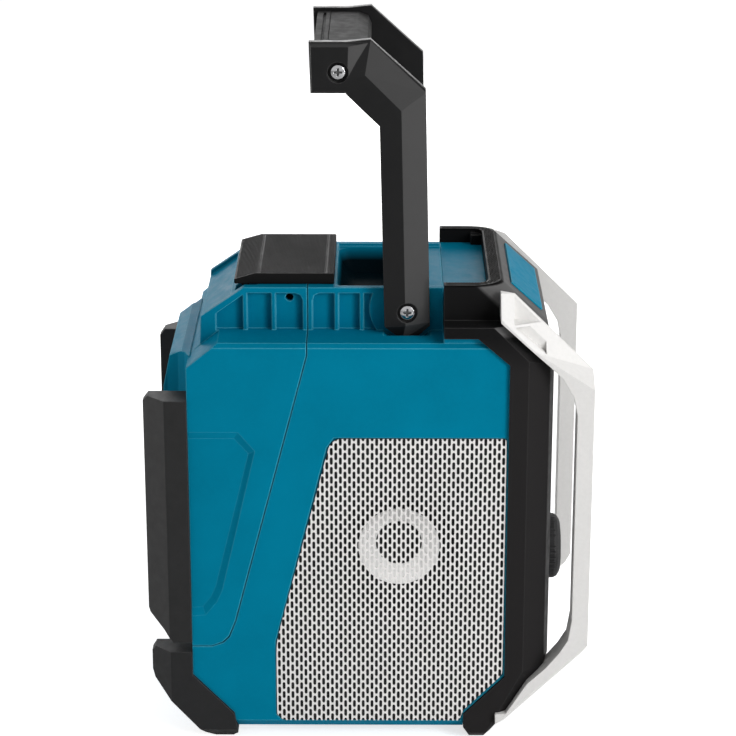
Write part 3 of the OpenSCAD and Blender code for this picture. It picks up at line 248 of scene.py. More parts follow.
# painted highlights: the arms' black is paler on faces that slant towards the front, and the crown's twice as
# pale there above 264 mm
arm_black = black("arm_black", slant=SLANT_HIGHLIGHT_BLACK)
crown_black = black("crown_black", slant=shade(SLANT_HIGHLIGHT_BLACK, 2.0), slant_z=264, under=(SIDE_BLACK, 262, 240),
                    over=(DEEP_BLACK, 288.2, 289.0)).put("IOR", 1.15)
latch_black = moulded("latch_black", (0.0062, 0.006, 0.006), 0.5, depth=0.02, mottle=0.1, radius=0.4,
                      spec=0.08)
knurled_rim = moulded("knurled_rim", (0.034, 0.033, 0.033), 0.5, depth=0.02, spec=0.0, radius=0.1)
knurled_latch = moulded("knurled_latch", (0.056, 0.055, 0.055), 0.5, depth=0.02, spec=0.2, radius=0.1)
charcoal = moulded("moulded_charcoal", (0.012, 0.012, 0.0125), 0.5, mottle=0.1, spec=0.24)
satin = moulded("button_satin", (0.03, 0.03, 0.031), 0.45, grain=3200, mottle=0.08, radius=0.5)
soft_rubber = rubber("soft_rubber", (0.0075, 0.0075, 0.008))
# painted highlight: the bumpers' rubber is paler on faces that slant towards the rear
bumper_rubber = rubber("bumper_rubber", (0.0105, 0.0105, 0.0107), slant=SLANT_HIGHLIGHT_RUBBER, axis=(0, 1, 0))
soft_grip = moulded("soft_grip", (0.02, 0.02, 0.02), 0.6, depth=0.05, mottle=0.1, spec=0.06, radius=1.2)
ivory = moulded("moulded_ivory", (0.76, 0.75, 0.735), 0.45, mottle=0.012, spec=0.3)
grille_coat = coated("grille_coat", (0.86, 0.84, 0.825), 0.5, depth=0.02, mottle=0.03, radius=0.1, spec=0.3)
lacquer = moulded("board_lacquer", (0.01, 0.10, 0.035), 0.3, grain=900, depth=0.02, radius=0.1)
speaker_black = moulded("speaker_black", (0.012, 0.012, 0.013), 0.45, radius=0.3, spec=0.3)
print_white = coated("symbol_print", (0.62, 0.62, 0.60), 0.5, depth=0.01, radius=0.05)
lcd_pale = coated("display_face", (0.20, 0.245, 0.21), 0.35, depth=0.005, radius=0.05, mottle=0.03)
lcd_ink = coated("display_ink", (0.012, 0.016, 0.015), 0.4, depth=0.005, radius=0.05)
plate_grey = coated("plate_film", (0.24, 0.245, 0.25), 0.4, depth=0.01, radius=0.1)

steel = metal("zinc_steel", STEEL, 0.25, 0.08, 0.16)
steel.bump(steel.noise(1500, 2), 0.01)
# painted shade: darker, rougher steel for the deep part of each cross recess
recess_shade_steel = metal("recess_shade_steel", RECESS_SHADE_STEEL, 0.1, 0.35, 0.5)

glass = Look("display_glass", (0.012, 0.016, 0.017), 0.06).bevel(0.3).put("Coat Weight", 0.6)
glass.roughen(glass.noise(90, 2), 0.04, 0.09)

# the pale cone ring glows: painted light that lifts the shade behind the grille a little, less so towards its
# top
pale_cone = moulded("cone_pale", (0.80, 0.80, 0.79), 0.5, grain=900, depth=0.04, mottle=0.03, spec=0.3)
pale_cone.put("Emission Color", pale_cone.mix(pale_cone.height(*RING_GLOW_Z), GLOW, DIM_GLOW))
pale_cone.put("Emission Strength", 1.0)

SLOT_LOOKS = {"blue_shell": blue_shell, "black_shell": black_shell, "dark_plastic": charcoal,
              "button_plastic": satin, "black_rubber": soft_rubber, "ivory_shell": ivory,
              "grille_paint": grille_coat, "board": lacquer, "speaker_metal": speaker_black,
              "cone": speaker_black, "steel": steel, "display_glass": glass}
NODE_LOOKS = {"front_frame": crown_black, "handle_arm_left": arm_black, "handle_arm_right": arm_black,
              "handle_grip": soft_grip, "grip_pad": soft_grip, "latch": latch_black, "latch_pad": latch_black,
              "bumper_left": bumper_rubber, "bumper_right": bumper_rubber}

for entry in frame["record"]["subparts"]:
    look, solid = SLOT_LOOKS[entry["material_slot"]], frame["nodes"][entry["node"]]
    if not solid.material_slots:
        solid.data.materials.append(look.mat)
    for holder in solid.material_slots:
        holder.material = NODE_LOOKS.get(entry["node"], look).mat

# ---- outlines -------------------------------------------------------------------

CORNER_STEPS = 5


def rect(x0, z0, x1, z1):
    return [(x0, z0), (x1, z0), (x1, z1), (x0, z1)]


def bar(ax, az, bx, bz, width):
    """Straight stroke between two points."""
    length = math.hypot(bx - ax, bz - az)
    nx, nz = -(bz - az) / length * width / 2, (bx - ax) / length * width / 2
    return [(ax - nx, az - nz), (bx - nx, bz - nz), (bx + nx, bz + nz), (ax + nx, az + nz)]


def arc(x, z, radius, start, turn, count):
    """Points along part of a circle with both its ends; angles in degrees."""
    angles = [math.radians(start + turn * k / count) for k in range(count + 1)]
    return [(x + radius * math.cos(a), z + radius * math.sin(a)) for a in angles]


def circle(x, z, radius, count):
    return arc(x, z, radius, 0, 360, count)[:-1]


def rounded(x0, z0, x1, z1, radius):
    """Rectangle with rounded corners."""
    points = []
    for x, z, start in ((x1 - radius, z0 + radius, -90), (x1 - radius, z1 - radius, 0),
                        (x0 + radius, z1 - radius, 90), (x0 + radius, z0 + radius, 180)):
        points += arc(x, z, radius, start, 90, CORNER_STEPS)
    return points


def framed(x0, z0, x1, z1, radius, width, inner_radius):
    """Outer and inner edge of a rounded frame."""
    return (rounded(x0, z0, x1, z1, radius),
            rounded(x0 + width, z0 + width, x1 - width, z1 - width, inner_radius))


# ---- meshes -----------------------------------------------------------------------

# planes as the two axes that an outline lies on; what is extruded grows along their cross product
SIDEWAYS, FORWARDS, DOWNWARDS = ((0, 1, 0), (0, 0, 1)), ((1, 0, 0), (0, 0, 1)), ((1, 0, 0), (0, -1, 0))


def in_scene(name, data):
    obj = bpy.data.objects.new(name, data)
    bpy.context.collection.objects.link(obj)
    return obj


def new_piece(name, mesh, look, body):
    """Puts a mesh in the scene as a piece that rides on a body."""
    obj = in_scene(name, mesh)
    mesh.materials.append(look.mat)
    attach(obj, body)
    return obj


def as_mesh(bm, name, outwards=True):
    """Ends a bmesh and gives its mesh, by default with its faces turned outwards."""
    if outwards:
        bmesh.ops.recalc_face_normals(bm, faces=bm.faces)
    mesh = bpy.data.meshes.new(name)
    bm.to_mesh(mesh)
    bm.free()
    return mesh


def vert(bm, x, y, z):
    """Adds a corner at a place in millimetres."""
    return bm.verts.new((x * MM, y * MM, z * MM))


def pairs(items):
    """Each item with the one after it, and the last with the first."""
    return list(zip(items, items[1:] + items[:1]))


def band(bm, low, high):
    """Adds the faces between two closed rows of corners."""
    return [bm.faces.new((a, b, d, c)) for (a, b), (c, d) in zip(pairs(low), pairs(high))]


class Sculpt:
    """Gathers closed solids in one mesh; sizes in millimetres."""

    def __init__(self):
        self.bm = bmesh.new()

    def row(self, outline, origin, plane, lift):
        """Adds the corners of an outline, lifted off its plane."""
        origin, u, v = Vector(origin), Vector(plane[0]), Vector(plane[1])
        return [self.bm.verts.new((origin + u * a + v * b + u.cross(v) * lift) * MM) for a, b in outline]

    def prism(self, outline, origin, plane, height, soft=0.0):
        """Extrudes an outline; its far edges can be softened."""
        low, high = (self.row(outline, origin, plane, lift) for lift in (0, height))
        self.bm.faces.new(low[::-1])
        top = self.bm.faces.new(high)
        band(self.bm, low, high)
        if soft:
            bmesh.ops.bevel(self.bm, geom=list(top.edges), offset=soft * MM, segments=2,
                            profile=0.6, affect="EDGES")

    def ring(self, edges, origin, plane, height):
        """Extrudes the band between an outer and an inner edge with the same number of points."""
        outer, inner = edges
        rows = [self.row(outline, origin, plane, lift)
                for outline, lift in ((outer, 0), (outer, height), (inner, height), (inner, 0))]
        for low, high in pairs(rows):
            band(self.bm, low, high)


# ---- grilles ----------------------------------------------------------------------

# corners as places along Y and Z, with the length that rounds each off
GRILLE_CORNERS = [(-82.7, 198.1, 2), (-82.7, 44.2, 3), (-58.8, 19.7, 2), (-56.7, 13, 1), (51.8, 13, 2),
                  (55.6, 16.7, 2), (55.6, 66, 8), (21.6, 198.1, 7)]
SHEET_T = 0.7
SLOT_W, SLOT_H = 1.75, 5.1
SLOT_PITCH_Y, SLOT_PITCH_Z = 2.7, 6.03
SLOT_START_Y, SLOT_START_Z = 1.6, 2.2    # from the outline's foremost and lowest points
CDT_WITHIN, CDT_REACH = 1, 1e-4          # fill of the outlines, and the distance that joins points

RIM_FLOOR, RIM_T, RIM_W, RIM_GAP = 75.55, 1.35, 3.3, 0.1
RING_RISE, RING_STEPS = 3.5, 96          # rise of the pale ring above the speaker's axis
# the pale ring's profile, as radii and places along X
RING_PROFILE = [(14.3, 67.6), (24.5, 74.4), (24.5, 75.0), (23.7, 75.4), (13.9, 68.8)]


def around(corners):
    """Each corner's place, the places before and after it, and its cut."""
    places = [Vector(corner[:2]) for corner in corners]
    for k, here in enumerate(places):
        yield here, places[k - 1], places[(k + 1) % len(places)], corners[k][2]


def soften(corners):
    """Outline with each corner cut back by its own length and rounded."""
    points = []
    for here, before, after, cut in around(corners):
        a, b = here + (before - here).normalized() * cut, here + (after - here).normalized() * cut
        for n in range(CORNER_STEPS + 1):
            t = n / CORNER_STEPS
            points.append(tuple(a * (1 - t) ** 2 + here * 2 * t * (1 - t) + b * t ** 2))
    return points


def inset(corners, depth):
    """Corners of the outline that lies a depth further in."""
    moved = []
    for here, before, after, cut in around(corners):
        ways = (here - before).normalized(), (after - here).normalized()
        inwards = [Vector((-way.y, way.x)) for way in ways]
        place = here + (inwards[0] + inwards[1]) / (1 + inwards[0].dot(inwards[1])) * depth
        moved.append((place.x, place.y, cut))
    return moved


GRILLE_EDGE = soften(GRILLE_CORNERS)


def edge_gap(y, z):
    """Distance from a point to the grille's edge, negative outside it."""
    gap, within = math.inf, False
    for (ay, az), (by, bz) in pairs(GRILLE_EDGE):
        if (az > z) != (bz > z) and y < ay + (z - az) * (by - ay) / (bz - az):
            within = not within
        span = (by - ay) ** 2 + (bz - az) ** 2
        t = max(0.0, min(1.0, ((y - ay) * (by - ay) + (z - az) * (bz - az)) / span))
        gap = min(gap, math.hypot(y - ay - t * (by - ay), z - az - t * (bz - az)))
    return gap if within else -gap


def slots():
    """Middles of the slots, in staggered columns; those on the edge run out through it."""
    low, high = ([pick(point[k] for point in GRILLE_EDGE) for k in (0, 1)] for pick in (min, max))
    for i in range(int((high[0] - low[0]) / SLOT_PITCH_Y) + 1):
        y = low[0] + SLOT_START_Y + i * SLOT_PITCH_Y
        for j in range(-1, int((high[1] - low[1]) / SLOT_PITCH_Z) + 2):
            z = low[1] + SLOT_START_Z + (j + (i % 2) / 2) * SLOT_PITCH_Z
            if edge_gap(y, z) > -SLOT_H / 2:
                yield y, z


def slot_outline(y, z):
    """One slot with rounded ends."""
    radius, outline = SLOT_W / 2, []
    for side, end in ((1, z + SLOT_H / 2 - radius), (-1, z - SLOT_H / 2 + radius)):
        for k in range(4):
            a = math.pi * k / 3
            outline.append((y + side * radius * math.cos(a), end + side * radius * math.sin(a)))
    return outline


def keep_largest(bm):
    """Deletes the scraps of sheet that the edge cuts loose."""
    left, parts = set(bm.faces), []
    while left:
        part, edge = set(), [left.pop()]
        while edge:
            face = edge.pop()
            part.add(face)
            for other in {f for e in face.edges for f in e.link_faces} & left:
                left.discard(other)
                edge.append(other)
        parts.append(part)
    parts.sort(key=len)
    bmesh.ops.delete(bm, geom=[f for part in parts[:-1] for f in part], context="FACES")
    bmesh.ops.delete(bm, geom=[v for v in bm.verts if not v.link_faces], context="VERTS")


def grille_sheet(side):
    """Punched sheet over the speaker, on the side given by the sign."""
    points, outlines = [], []
    for outline in [GRILLE_EDGE] + [slot_outline(y, z) for y, z in slots()]:
        outlines.append(list(range(len(points), len(points) + len(outline))))
        points += [Vector(point) for point in outline]
    flat, _, tris, _, _, owners = delaunay_2d_cdt(points, [], outlines, CDT_WITHIN, CDT_REACH)
    bm = bmesh.new()
    verts = [vert(bm, side * (SIDE_HW + SHEET_T), y, z) for y, z in flat]
    for tri, owner in zip(tris, owners):
        if owner == [0]:             # inside the edge and in no slot
            bm.faces.new([verts[k] for k in tri])
    keep_largest(bm)
    bmesh.ops.recalc_face_normals(bm, faces=bm.faces)
    bm.normal_update()
    if sum(f.normal.x for f in bm.faces) * side < 0:
        bmesh.ops.reverse_faces(bm, faces=bm.faces)
    made = bmesh.ops.extrude_face_region(bm, geom=list(bm.faces))
    back = [v for v in made["geom"] if isinstance(v, bmesh.types.BMVert)]
    bmesh.ops.translate(bm, verts=back, vec=(side * -SHEET_T * MM, 0, 0))
    return as_mesh(bm, "grille")


def grille_rim(side):
    """Dark rim behind the sheet's edge, seated in the recess: partly a backing, and partly painted shade that
    darkens the edge slots and the gap round the sheet.
    """
    work = Sculpt()
    start = RIM_FLOOR if side > 0 else -RIM_FLOOR - RIM_T
    edges = [soften(inset(GRILLE_CORNERS, depth)) for depth in (RIM_GAP, RIM_W)]
    work.ring(edges, (start, 0, 0), SIDEWAYS, RIM_T)
    return as_mesh(work.bm, "grille_rim")


def cone_ring(side):
    """Pale ring in front of the speaker's cone."""
    bm, rows = bmesh.new(), []
    for k in range(RING_STEPS):
        a = math.tau * k / RING_STEPS
        rows.append([vert(bm, side * x, SPEAKER_Y + r * math.cos(a), SPEAKER_Z + RING_RISE + r * math.sin(a))
                     for r, x in RING_PROFILE])
    for low, high in pairs(rows):
        band(bm, low, high)
    return as_mesh(bm, "ring")


for side, name in SIDES:
    sheet = new_piece("grille_sheet_" + name, grille_sheet(side), grille_coat, "root")
    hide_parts("grille_" + name)
    new_piece("grille_rim_" + name, grille_rim(side), black_shell, "root")
    new_piece("cone_ring_" + name, cone_ring(side), pale_cone, "root")

# ---- knurling on the crown's rim and on the latch --------------------------------------

STUD_RISE, STUD_SINK, STUD_TIP = 0.45, 0.08, 1 / 3       # the tip's width is a share of the foot's
COARSE_STUD, COARSE_PITCH = (1.15, 0.55), (3.6, 1.7)     # half widths, and pitches, along X and Y
FINE_STUD, FINE_PITCH = (0.58, 0.58), (1.7, 1.7)

CROWN_HW, CROWN_FRONT, CROWN_REAR, CROWN_TOP = 65.0, -79.0, -45.0, 289.5
CROWN_CORNER_X, CROWN_CORNER_Y = 13.0, 22.5              # reach of the crown's rounded corners
CROWN_BEND, CROWN_CLIMB = -66.0, 0.5 / 13                # the top climbs in front of the bend
TRAY_HW, TRAY_FRONT, TRAY_R = 58.5, -71.5, 7.0
STUD_MARGIN, END_MARGIN = 0.8, 0.9                       # from the rim's edges, and from its ends

LATCH_HW, LATCH_FRONT, LATCH_BEND, LATCH_REAR, LATCH_TOP = 42.2, 21.0, 67.0, 78.6, 290.3
LATCH_FALL = 3.6 / 12.5                                  # the latch's top falls behind the bend
LATCH_GROOVES, GROOVE_HW = (25.1, 65.0), 0.9


def on_rim(x, y):
    """Whether a place on the crown's top lies on its rim, clear of both edges."""
    x = abs(x)
    if x > CROWN_HW - STUD_MARGIN:
        return False
    bend_x, bend_y = x - (CROWN_HW - CROWN_CORNER_X), CROWN_FRONT + CROWN_CORNER_Y - y
    if bend_x > 0 and bend_y > 0:
        reach_x, reach_y = CROWN_CORNER_X - STUD_MARGIN, CROWN_CORNER_Y - STUD_MARGIN
        if (bend_x / reach_x) ** 2 + (bend_y / reach_y) ** 2 > 1:
            return False
    cut_x, cut_y = x - (TRAY_HW - TRAY_R), TRAY_FRONT + TRAY_R - y
    if cut_x > 0 and cut_y > 0:
        return math.hypot(cut_x, cut_y) > TRAY_R + STUD_MARGIN
    return x > TRAY_HW + STUD_MARGIN or y < TRAY_FRONT - STUD_MARGIN


def off_grooves(y):
    return all(abs(y - groove) > GROOVE_HW for groove in LATCH_GROOVES)


def staggered(pitch, half_width, y0, y1):
    """Places on rows half a pitch apart, each row shifted by half a pitch."""
    for row in range(int((y1 - y0) / pitch[1] * 2) + 1):
        reach = int(half_width / pitch[0])
        for k in range(-reach, reach + 1 - row % 2):
            yield (k + (row % 2) / 2) * pitch[0], y0 + row * pitch[1] / 2


def knurl(name, stud, look, places, body):
    """Small blunt studs, each at a place on a surface that looks up."""
    bm = bmesh.new()
    for x, y, z in places:
        foot, tip = ([vert(bm, x + a * stud[0] * share, y + b * stud[1] * share, z + rise)
                      for a, b in ((1, 0), (0, 1), (-1, 0), (0, -1))]
                     for share, rise in ((1, -STUD_SINK), (STUD_TIP, STUD_RISE)))
        bm.faces.new(foot[::-1])
        bm.faces.new(tip)
        band(bm, foot, tip)
    new_piece(name, as_mesh(bm, name), look, body)


crown_places = [
    (x, y, CROWN_TOP + max(0.0, CROWN_BEND - y) * CROWN_CLIMB)
    for x, y in staggered(COARSE_PITCH, CROWN_HW, CROWN_FRONT + END_MARGIN, CROWN_REAR - END_MARGIN)
    if on_rim(x, y)]
latch_places = [
    (x, y, LATCH_TOP - max(0.0, y - LATCH_BEND) * LATCH_FALL)
    for x, y in staggered(FINE_PITCH, LATCH_HW, LATCH_FRONT, LATCH_REAR) if off_grooves(y)]
knurl("crown_knurl", COARSE_STUD, knurled_rim, crown_places, "root")
knurl("latch_knurl", FINE_STUD, knurled_latch, latch_places, "latch")

# ---- finger recess in front of the latch -----------------------------------------------

SCOOP, SCOOP_R = (-41.5, -22.0, 41.5, 18.4), 7.0
# the bowl's wall, as distances in from the opening's edge and depths below the deck's top
SCOOP_INSIDE = [(0.15, 0.1), (0.6, 2.5), (1.6, 6), (3.4, 9.5), (6.2, 12.1), (10, 13.3)]
SCOOP_OUTSIDE = [(-1, 0.1), (-0.9, 2.5), (-0.2, 6.5), (1.6, 10.3), (4.6, 13.3), (9, 14.7)]
LEVEL_REACH, CUT_REACH = 0.01, 0.0001    # what counts as level with the deck, and as on the cut


def scoop_outline(depth):
    """Outline of the recess, a distance in from the opening's edge."""
    x0, y0, x1, y1 = SCOOP
    return rounded(x0 + depth, y0 + depth, x1 - depth, y1 - depth, SCOOP_R - depth / 2)


def scoop_bowl():
    """Bowl of one wall, closed all round."""
    bm = bmesh.new()
    rows = [[vert(bm, x, y, DECK_TOP - drop) for x, y in scoop_outline(depth)]
            for depth, drop in SCOOP_INSIDE[::-1] + SCOOP_OUTSIDE]
    for low, high in zip(rows, rows[1:]):
        for face in band(bm, low, high):
            face.smooth = True
    bm.faces.new(rows[0])
    bm.faces.new(rows[-1])
    return as_mesh(bm, "finger_scoop")


def opened(node, outline, levels):
    """Copy of a node's mesh with a convex outline cut out of its faces at some heights."""
    bm = bmesh.new()
    bm.from_mesh(frame["nodes"][node].data)
    sides = []
    for start, end in pairs([Vector(point) for point in outline]):
        way = end - start
        sides.append((Vector((start.x, start.y, 0)) * MM, Vector((way.y, -way.x, 0)).normalized()))
    for level in levels:
        flat = [f for f in bm.faces if all(abs(v.co.z - level * MM) < LEVEL_REACH * MM for v in f.verts)]
        for place, out in sides:
            parts = flat + list({e for f in flat for e in f.edges}) + list({v for f in flat for v in f.verts})
            cut = bmesh.ops.bisect_plane(bm, geom=parts, dist=CUT_REACH * MM, plane_co=place, plane_no=out)
            flat = [part for part in cut["geom"] if isinstance(part, bmesh.types.BMFace)]
        inside = [f for f in flat
                  if all((f.calc_center_median() - place).dot(out) < 0 for place, out in sides)]
        bmesh.ops.delete(bm, geom=inside, context="FACES")
    return as_mesh(bm, node + "_opened", outwards=False)


casing = new_piece("casing_shell", opened("housing", scoop_outline(0), (DECK_UNDER, DECK_TOP)),
                   blue_shell, "root")
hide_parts("housing")
new_piece("finger_scoop", scoop_bowl(), scoop_shaded_blue, "root")

# ---- large screw heads -------------------------------------------------------------------

HEAD_RINGS, HEAD_STEPS = 20, 72
LARGE_HEAD, SMALL_HEAD = (4.2, 0.9, 2.5), (3.4, 0.6, 1.9)    # radius, rise of the dome, reach of the cross
HEAD_SHANK, DOME_POWER = 1.6, 2.2
CROSS_HW, CROSS_DEPTH = 0.26, 0.55       # as shares of the cross's reach
CROSS_FLANK, CROSS_END = 0.25, 0.5       # run of the slopes along the cross and at its ends
DEEP_SHARE = 0.5                         # from this share of the depth on, the cross is dark with painted shade
HEAD_X = 57.9
PIVOT, GRIP_SCREW = (-23.5, 270.5), (17.0, 415.0)


def clamp(value):
    return max(0.0, min(1.0, value))


def cross_share(a, b, radius, reach):
    """How much of the cross recess's depth lies at a place on a head, from 0 to 1."""
    arm = min(abs(a), abs(b))
    return clamp((reach * CROSS_HW - arm) / CROSS_FLANK) * clamp((reach - radius) / CROSS_END)


def screw_head(name, places, size, body, axis="x"):
    """Domed heads with a tapered cross recess, each at a point that it looks out from along an axis."""
    radius, rise, reach = size
    turns = [math.tau * k / HEAD_STEPS for k in range(HEAD_STEPS)]
    bm = bmesh.new()

    def head_vert(place, out, a, b, height):
        offset = (out * height, a, b) if axis == "x" else (a, b, out * height)
        return vert(bm, *(p + step for p, step in zip(place, offset)))

    for place, out in places:
        rows, deep = [], set()
        for n in range(1, HEAD_RINGS + 1):
            r = radius * n / HEAD_RINGS
            dome = rise * (1 - (r / radius) ** DOME_POWER)
            rows.append([])
            for t in turns:
                a, b = r * math.cos(t), r * math.sin(t)
                share = cross_share(a, b, r, reach)
                rows[-1].append(head_vert(place, out, a, b, dome - share * reach * CROSS_DEPTH))
                if share > DEEP_SHARE:
                    deep.add(rows[-1][-1])
        centre = head_vert(place, out, 0, 0, rise - reach * CROSS_DEPTH)
        base = [head_vert(place, out, radius * math.cos(t), radius * math.sin(t), -HEAD_SHANK) for t in turns]
        for a, b in pairs(rows[0]):
            bm.faces.new((centre, a, b)).material_index = 1
        for inner, outer in zip(rows, rows[1:]):
            for face in band(bm, inner, outer):
                face.material_index = int(deep.issuperset(face.verts))
        band(bm, rows[-1], base)
        bm.faces.new(base)
    mesh = as_mesh(bm, name)
    for face in mesh.polygons:
        face.use_smooth = len(face.vertices) < HEAD_STEPS
    new_piece(name, mesh, steel, body)
    # second material: painted shade in the deep part of the cross
    mesh.materials.append(recess_shade_steel.mat)


screw_head("pivot_heads", [((side * HEAD_X, *PIVOT), side) for side, _ in SIDES], LARGE_HEAD, "root")
screw_head("grip_heads", [((side * HEAD_X, *GRIP_SCREW), side) for side, _ in SIDES], LARGE_HEAD, "handle")

# ---- underside ---------------------------------------------------------------------------

BOSS_PLACES = [(x, y) for x in (-52, 52) for y in (-38, 52)]
BOSS_R, BOSS_HOLE_R, BOSS_H, BOSS_STEPS = 6.0, 3.6, 1.3, 40
RIB_PLACES, RIB_HL, RIB_HW, RIB_R, RIB_H = (-44, -30, 44, 58), 44, 1.2, 1.1, 1.0
BELLY_OVERLAP, HEAD_SINK = 0.1, 0.2
PLATE, PLATE_R, PLATE_T, PLATE_OVERLAP, PLATE_SOFT = (-34, -26, 34, 12), 3, 0.3, 0.05, 0.1
LINE_Z, LINE_T = BELLY_Z - 0.25, 0.08
# printed lines on the plate: a border and two squares, with radius, width and inner radius
PLATE_LINES = [(-32, -24, 32, 10, 2, 0.5, 1.6), (18, -20, 28, -10, 0.4, 0.7, 0.3),
               (20.5, -17.5, 25.5, -12.5, 0.4, 0.7, 0.3)]

work = Sculpt()
for x, y in BOSS_PLACES:
    edges = [circle(x, -y, radius, BOSS_STEPS) for radius in (BOSS_R, BOSS_HOLE_R)]
    work.ring(edges, (0, 0, BELLY_Z + BELLY_OVERLAP), DOWNWARDS, BOSS_H)
for y in RIB_PLACES:
    work.prism(rounded(-RIB_HL, -y - RIB_HW, RIB_HL, -y + RIB_HW, RIB_R),
               (0, 0, BELLY_Z + BELLY_OVERLAP), DOWNWARDS, RIB_H)
new_piece("base_bosses", as_mesh(work.bm, "base_bosses"), blue_shell, "root")
screw_head("base_heads", [((x, y, BELLY_Z - HEAD_SINK), -1) for x, y in BOSS_PLACES], SMALL_HEAD, "root", "z")

work = Sculpt()
work.prism(rounded(*PLATE, PLATE_R), (0, 0, BELLY_Z + PLATE_OVERLAP), DOWNWARDS, PLATE_T, PLATE_SOFT)
new_piece("rating_plate", as_mesh(work.bm, "rating_plate"), plate_grey, "root")

work = Sculpt()
for line in PLATE_LINES:
    work.ring(framed(*line), (0, 0, LINE_Z), DOWNWARDS, LINE_T)
new_piece("rating_lines", as_mesh(work.bm, "rating_lines"), lcd_ink, "root")

# ---- front panel ---------------------------------------------------------------------

SEGMENTS = ("abcdef", "bc", "abged", "abgcd", "fgbc", "afgcd", "afgedc", "abc", "abcdefg", "abcdfg")
FILM_T, PRINT_T, PRINT_SINK, TRIM_SINK = 0.12, 0.15, 0.05, 0.1
DISPLAY, DISPLAY_R = (-34, 168, 34, 206), 1.5
TIME, TIME_Z = ((1, -25), (2, -13.5), (3, 3.5), (0, 15)), 178    # each digit with its place along X
TIME_DIGIT = (8.6, 16, 1.7)                                      # width, height and stroke
LEVELS, LEVEL_X, LEVEL_Z, LEVEL_PITCH = 5, -30, 171, 3
LEVEL_W, LEVEL_H, LEVEL_GROWTH = 2, 1.6, 0.9
PRESET_Z, PRESET_PITCH, PRESET_DIGIT = 146, 19, (3.0, 4.8, 0.6)
LARGE_X, UPPER_Z, LOWER_Z = 40, 118, 77
SIGN_R, SIGN_W, SIGN_STEPS = 2.3, 0.6, 20
TICKS, TICK_START, TICK_TURN = 12, 225, 270
TICK_R, TICK_L, TICK_GROWTH, TICK_W, TICK_T = 27.0, 1.2, 0.14, 0.7, 0.2
DIAL_MARK, DIAL_MARK_W, DIAL_MARK_T = (8.5, 13.5), 1.4, 0.25     # along a radius
# raised frames, with radius, width and inner radius: round the window, the controls and the upper field
WINDOW_FRAME, WINDOW_RISE = (-42, 160, 42, 214, 3.5, 2.8, 2), 1.2
FIELD_LINES, FIELD_RISE = ((-55, 50, 55, 156, 5, 1, 4.2), (-55, 158, 55, 238, 5, 1, 4.2)), 0.5
DIAL_RING, DIAL_RING_STEPS, DIAL_RING_RISE = (25.5, 23.5), 64, 0.9


def face_piece(name, y, strokes, look, body="root", height=FILM_T, origin=(0, 0)):
    """Thin flat shapes on a face that looks forwards."""
    work = Sculpt()
    for stroke in strokes:
        work.prism(stroke, (origin[0], y, origin[1]), FORWARDS, height)
    new_piece(name, as_mesh(work.bm, name), look, body)


def digit(value, x, z, w, h, t):
    """Strokes of a seven-bar digit with its lower left corner at x, z."""
    bars = {
        "a": rect(x + t, z + h - t, x + w - t, z + h),
        "b": rect(x + w - t, z + h / 2 + t / 3, x + w, z + h - t / 2),
        "c": rect(x + w - t, z + t / 2, x + w, z + h / 2 - t / 3),
        "d": rect(x + t, z, x + w - t, z + t),
        "e": rect(x, z + t / 2, x + t, z + h / 2 - t / 3),
        "f": rect(x, z + h / 2 + t / 3, x + t, z + h - t / 2),
        "g": rect(x + t, z + (h - t) / 2, x + w - t, z + (h + t) / 2),
    }
    return [bars[k] for k in SEGMENTS[value]]


def bow(start, turn, z=0.0):
    """Stroke of a sign along part of a circle, a height above the sign's middle."""
    outer, inner = (arc(0, z, SIGN_R + side * SIGN_W / 2, start, turn, SIGN_STEPS) for side in (1, -1))
    return outer + inner[::-1]


face_piece("display_field", GLASS_Y, [rounded(*DISPLAY, DISPLAY_R)], lcd_pale)

# on the display: the time and its colon, level bars that grow, a battery sign and a line
marks = []
for value, x in TIME:
    marks += digit(value, x, TIME_Z, *TIME_DIGIT)
marks += [rect(-1.6, z, 0.2, z + 1.8) for z in (182, 188)]
for k in range(LEVELS):
    x = LEVEL_X + LEVEL_PITCH * k
    marks.append(rect(x, LEVEL_Z, x + LEVEL_W, LEVEL_Z + LEVEL_H + LEVEL_GROWTH * k))
marks += [rect(18, 171, 28, 175.5), rect(28, 172.3, 29, 174.2)]
marks.append(rect(-30, 200.5, 30, 200.9))
face_piece("display_marks", GLASS_Y - FILM_T, marks, lcd_ink)

work, panel_seat = Sculpt(), (0, PANEL_Y + TRIM_SINK, 0)
work.ring(framed(*WINDOW_FRAME), panel_seat, FORWARDS, WINDOW_RISE)
work.ring([circle(0, DIAL_Z, radius, DIAL_RING_STEPS) for radius in DIAL_RING], panel_seat, FORWARDS,
          DIAL_RING_RISE)
for line in FIELD_LINES:
    work.ring(framed(*line), panel_seat, FORWARDS, FIELD_RISE)
new_piece("panel_trim", as_mesh(work.bm, "panel_trim"), charcoal, "root")

# level ticks round the dial, growing in length, and the mark on the dial
ticks = []
for k in range(TICKS + 1):
    a = math.radians(TICK_START - TICK_TURN * k / TICKS)
    ends = [(r * math.cos(a), DIAL_Z + r * math.sin(a)) for r in (TICK_R, TICK_R + TICK_L + TICK_GROWTH * k)]
    ticks.append(bar(*ends[0], *ends[1], TICK_W))
dial_mark = bar(DIAL_MARK[0], 0, DIAL_MARK[1], 0, DIAL_MARK_W)
face_piece("dial_mark", DIAL_FACE_Y + PRINT_SINK, [dial_mark], print_white,
           "dial", DIAL_MARK_T, (0, DIAL_Z))
face_piece("dial_ticks", PANEL_Y + TRIM_SINK, ticks, print_white, height=TICK_T)

# numbers on the presets and signs on the four larger buttons
for k in range(1, 6):
    number = digit(k, -PRESET_DIGIT[0] / 2, -PRESET_DIGIT[1] / 2, *PRESET_DIGIT)
    face_piece("preset_mark_%d" % k, BUTTON_Y + PRINT_SINK, number, print_white,
               "preset_%d" % k, PRINT_T, ((k - 3) * PRESET_PITCH, PRESET_Z))

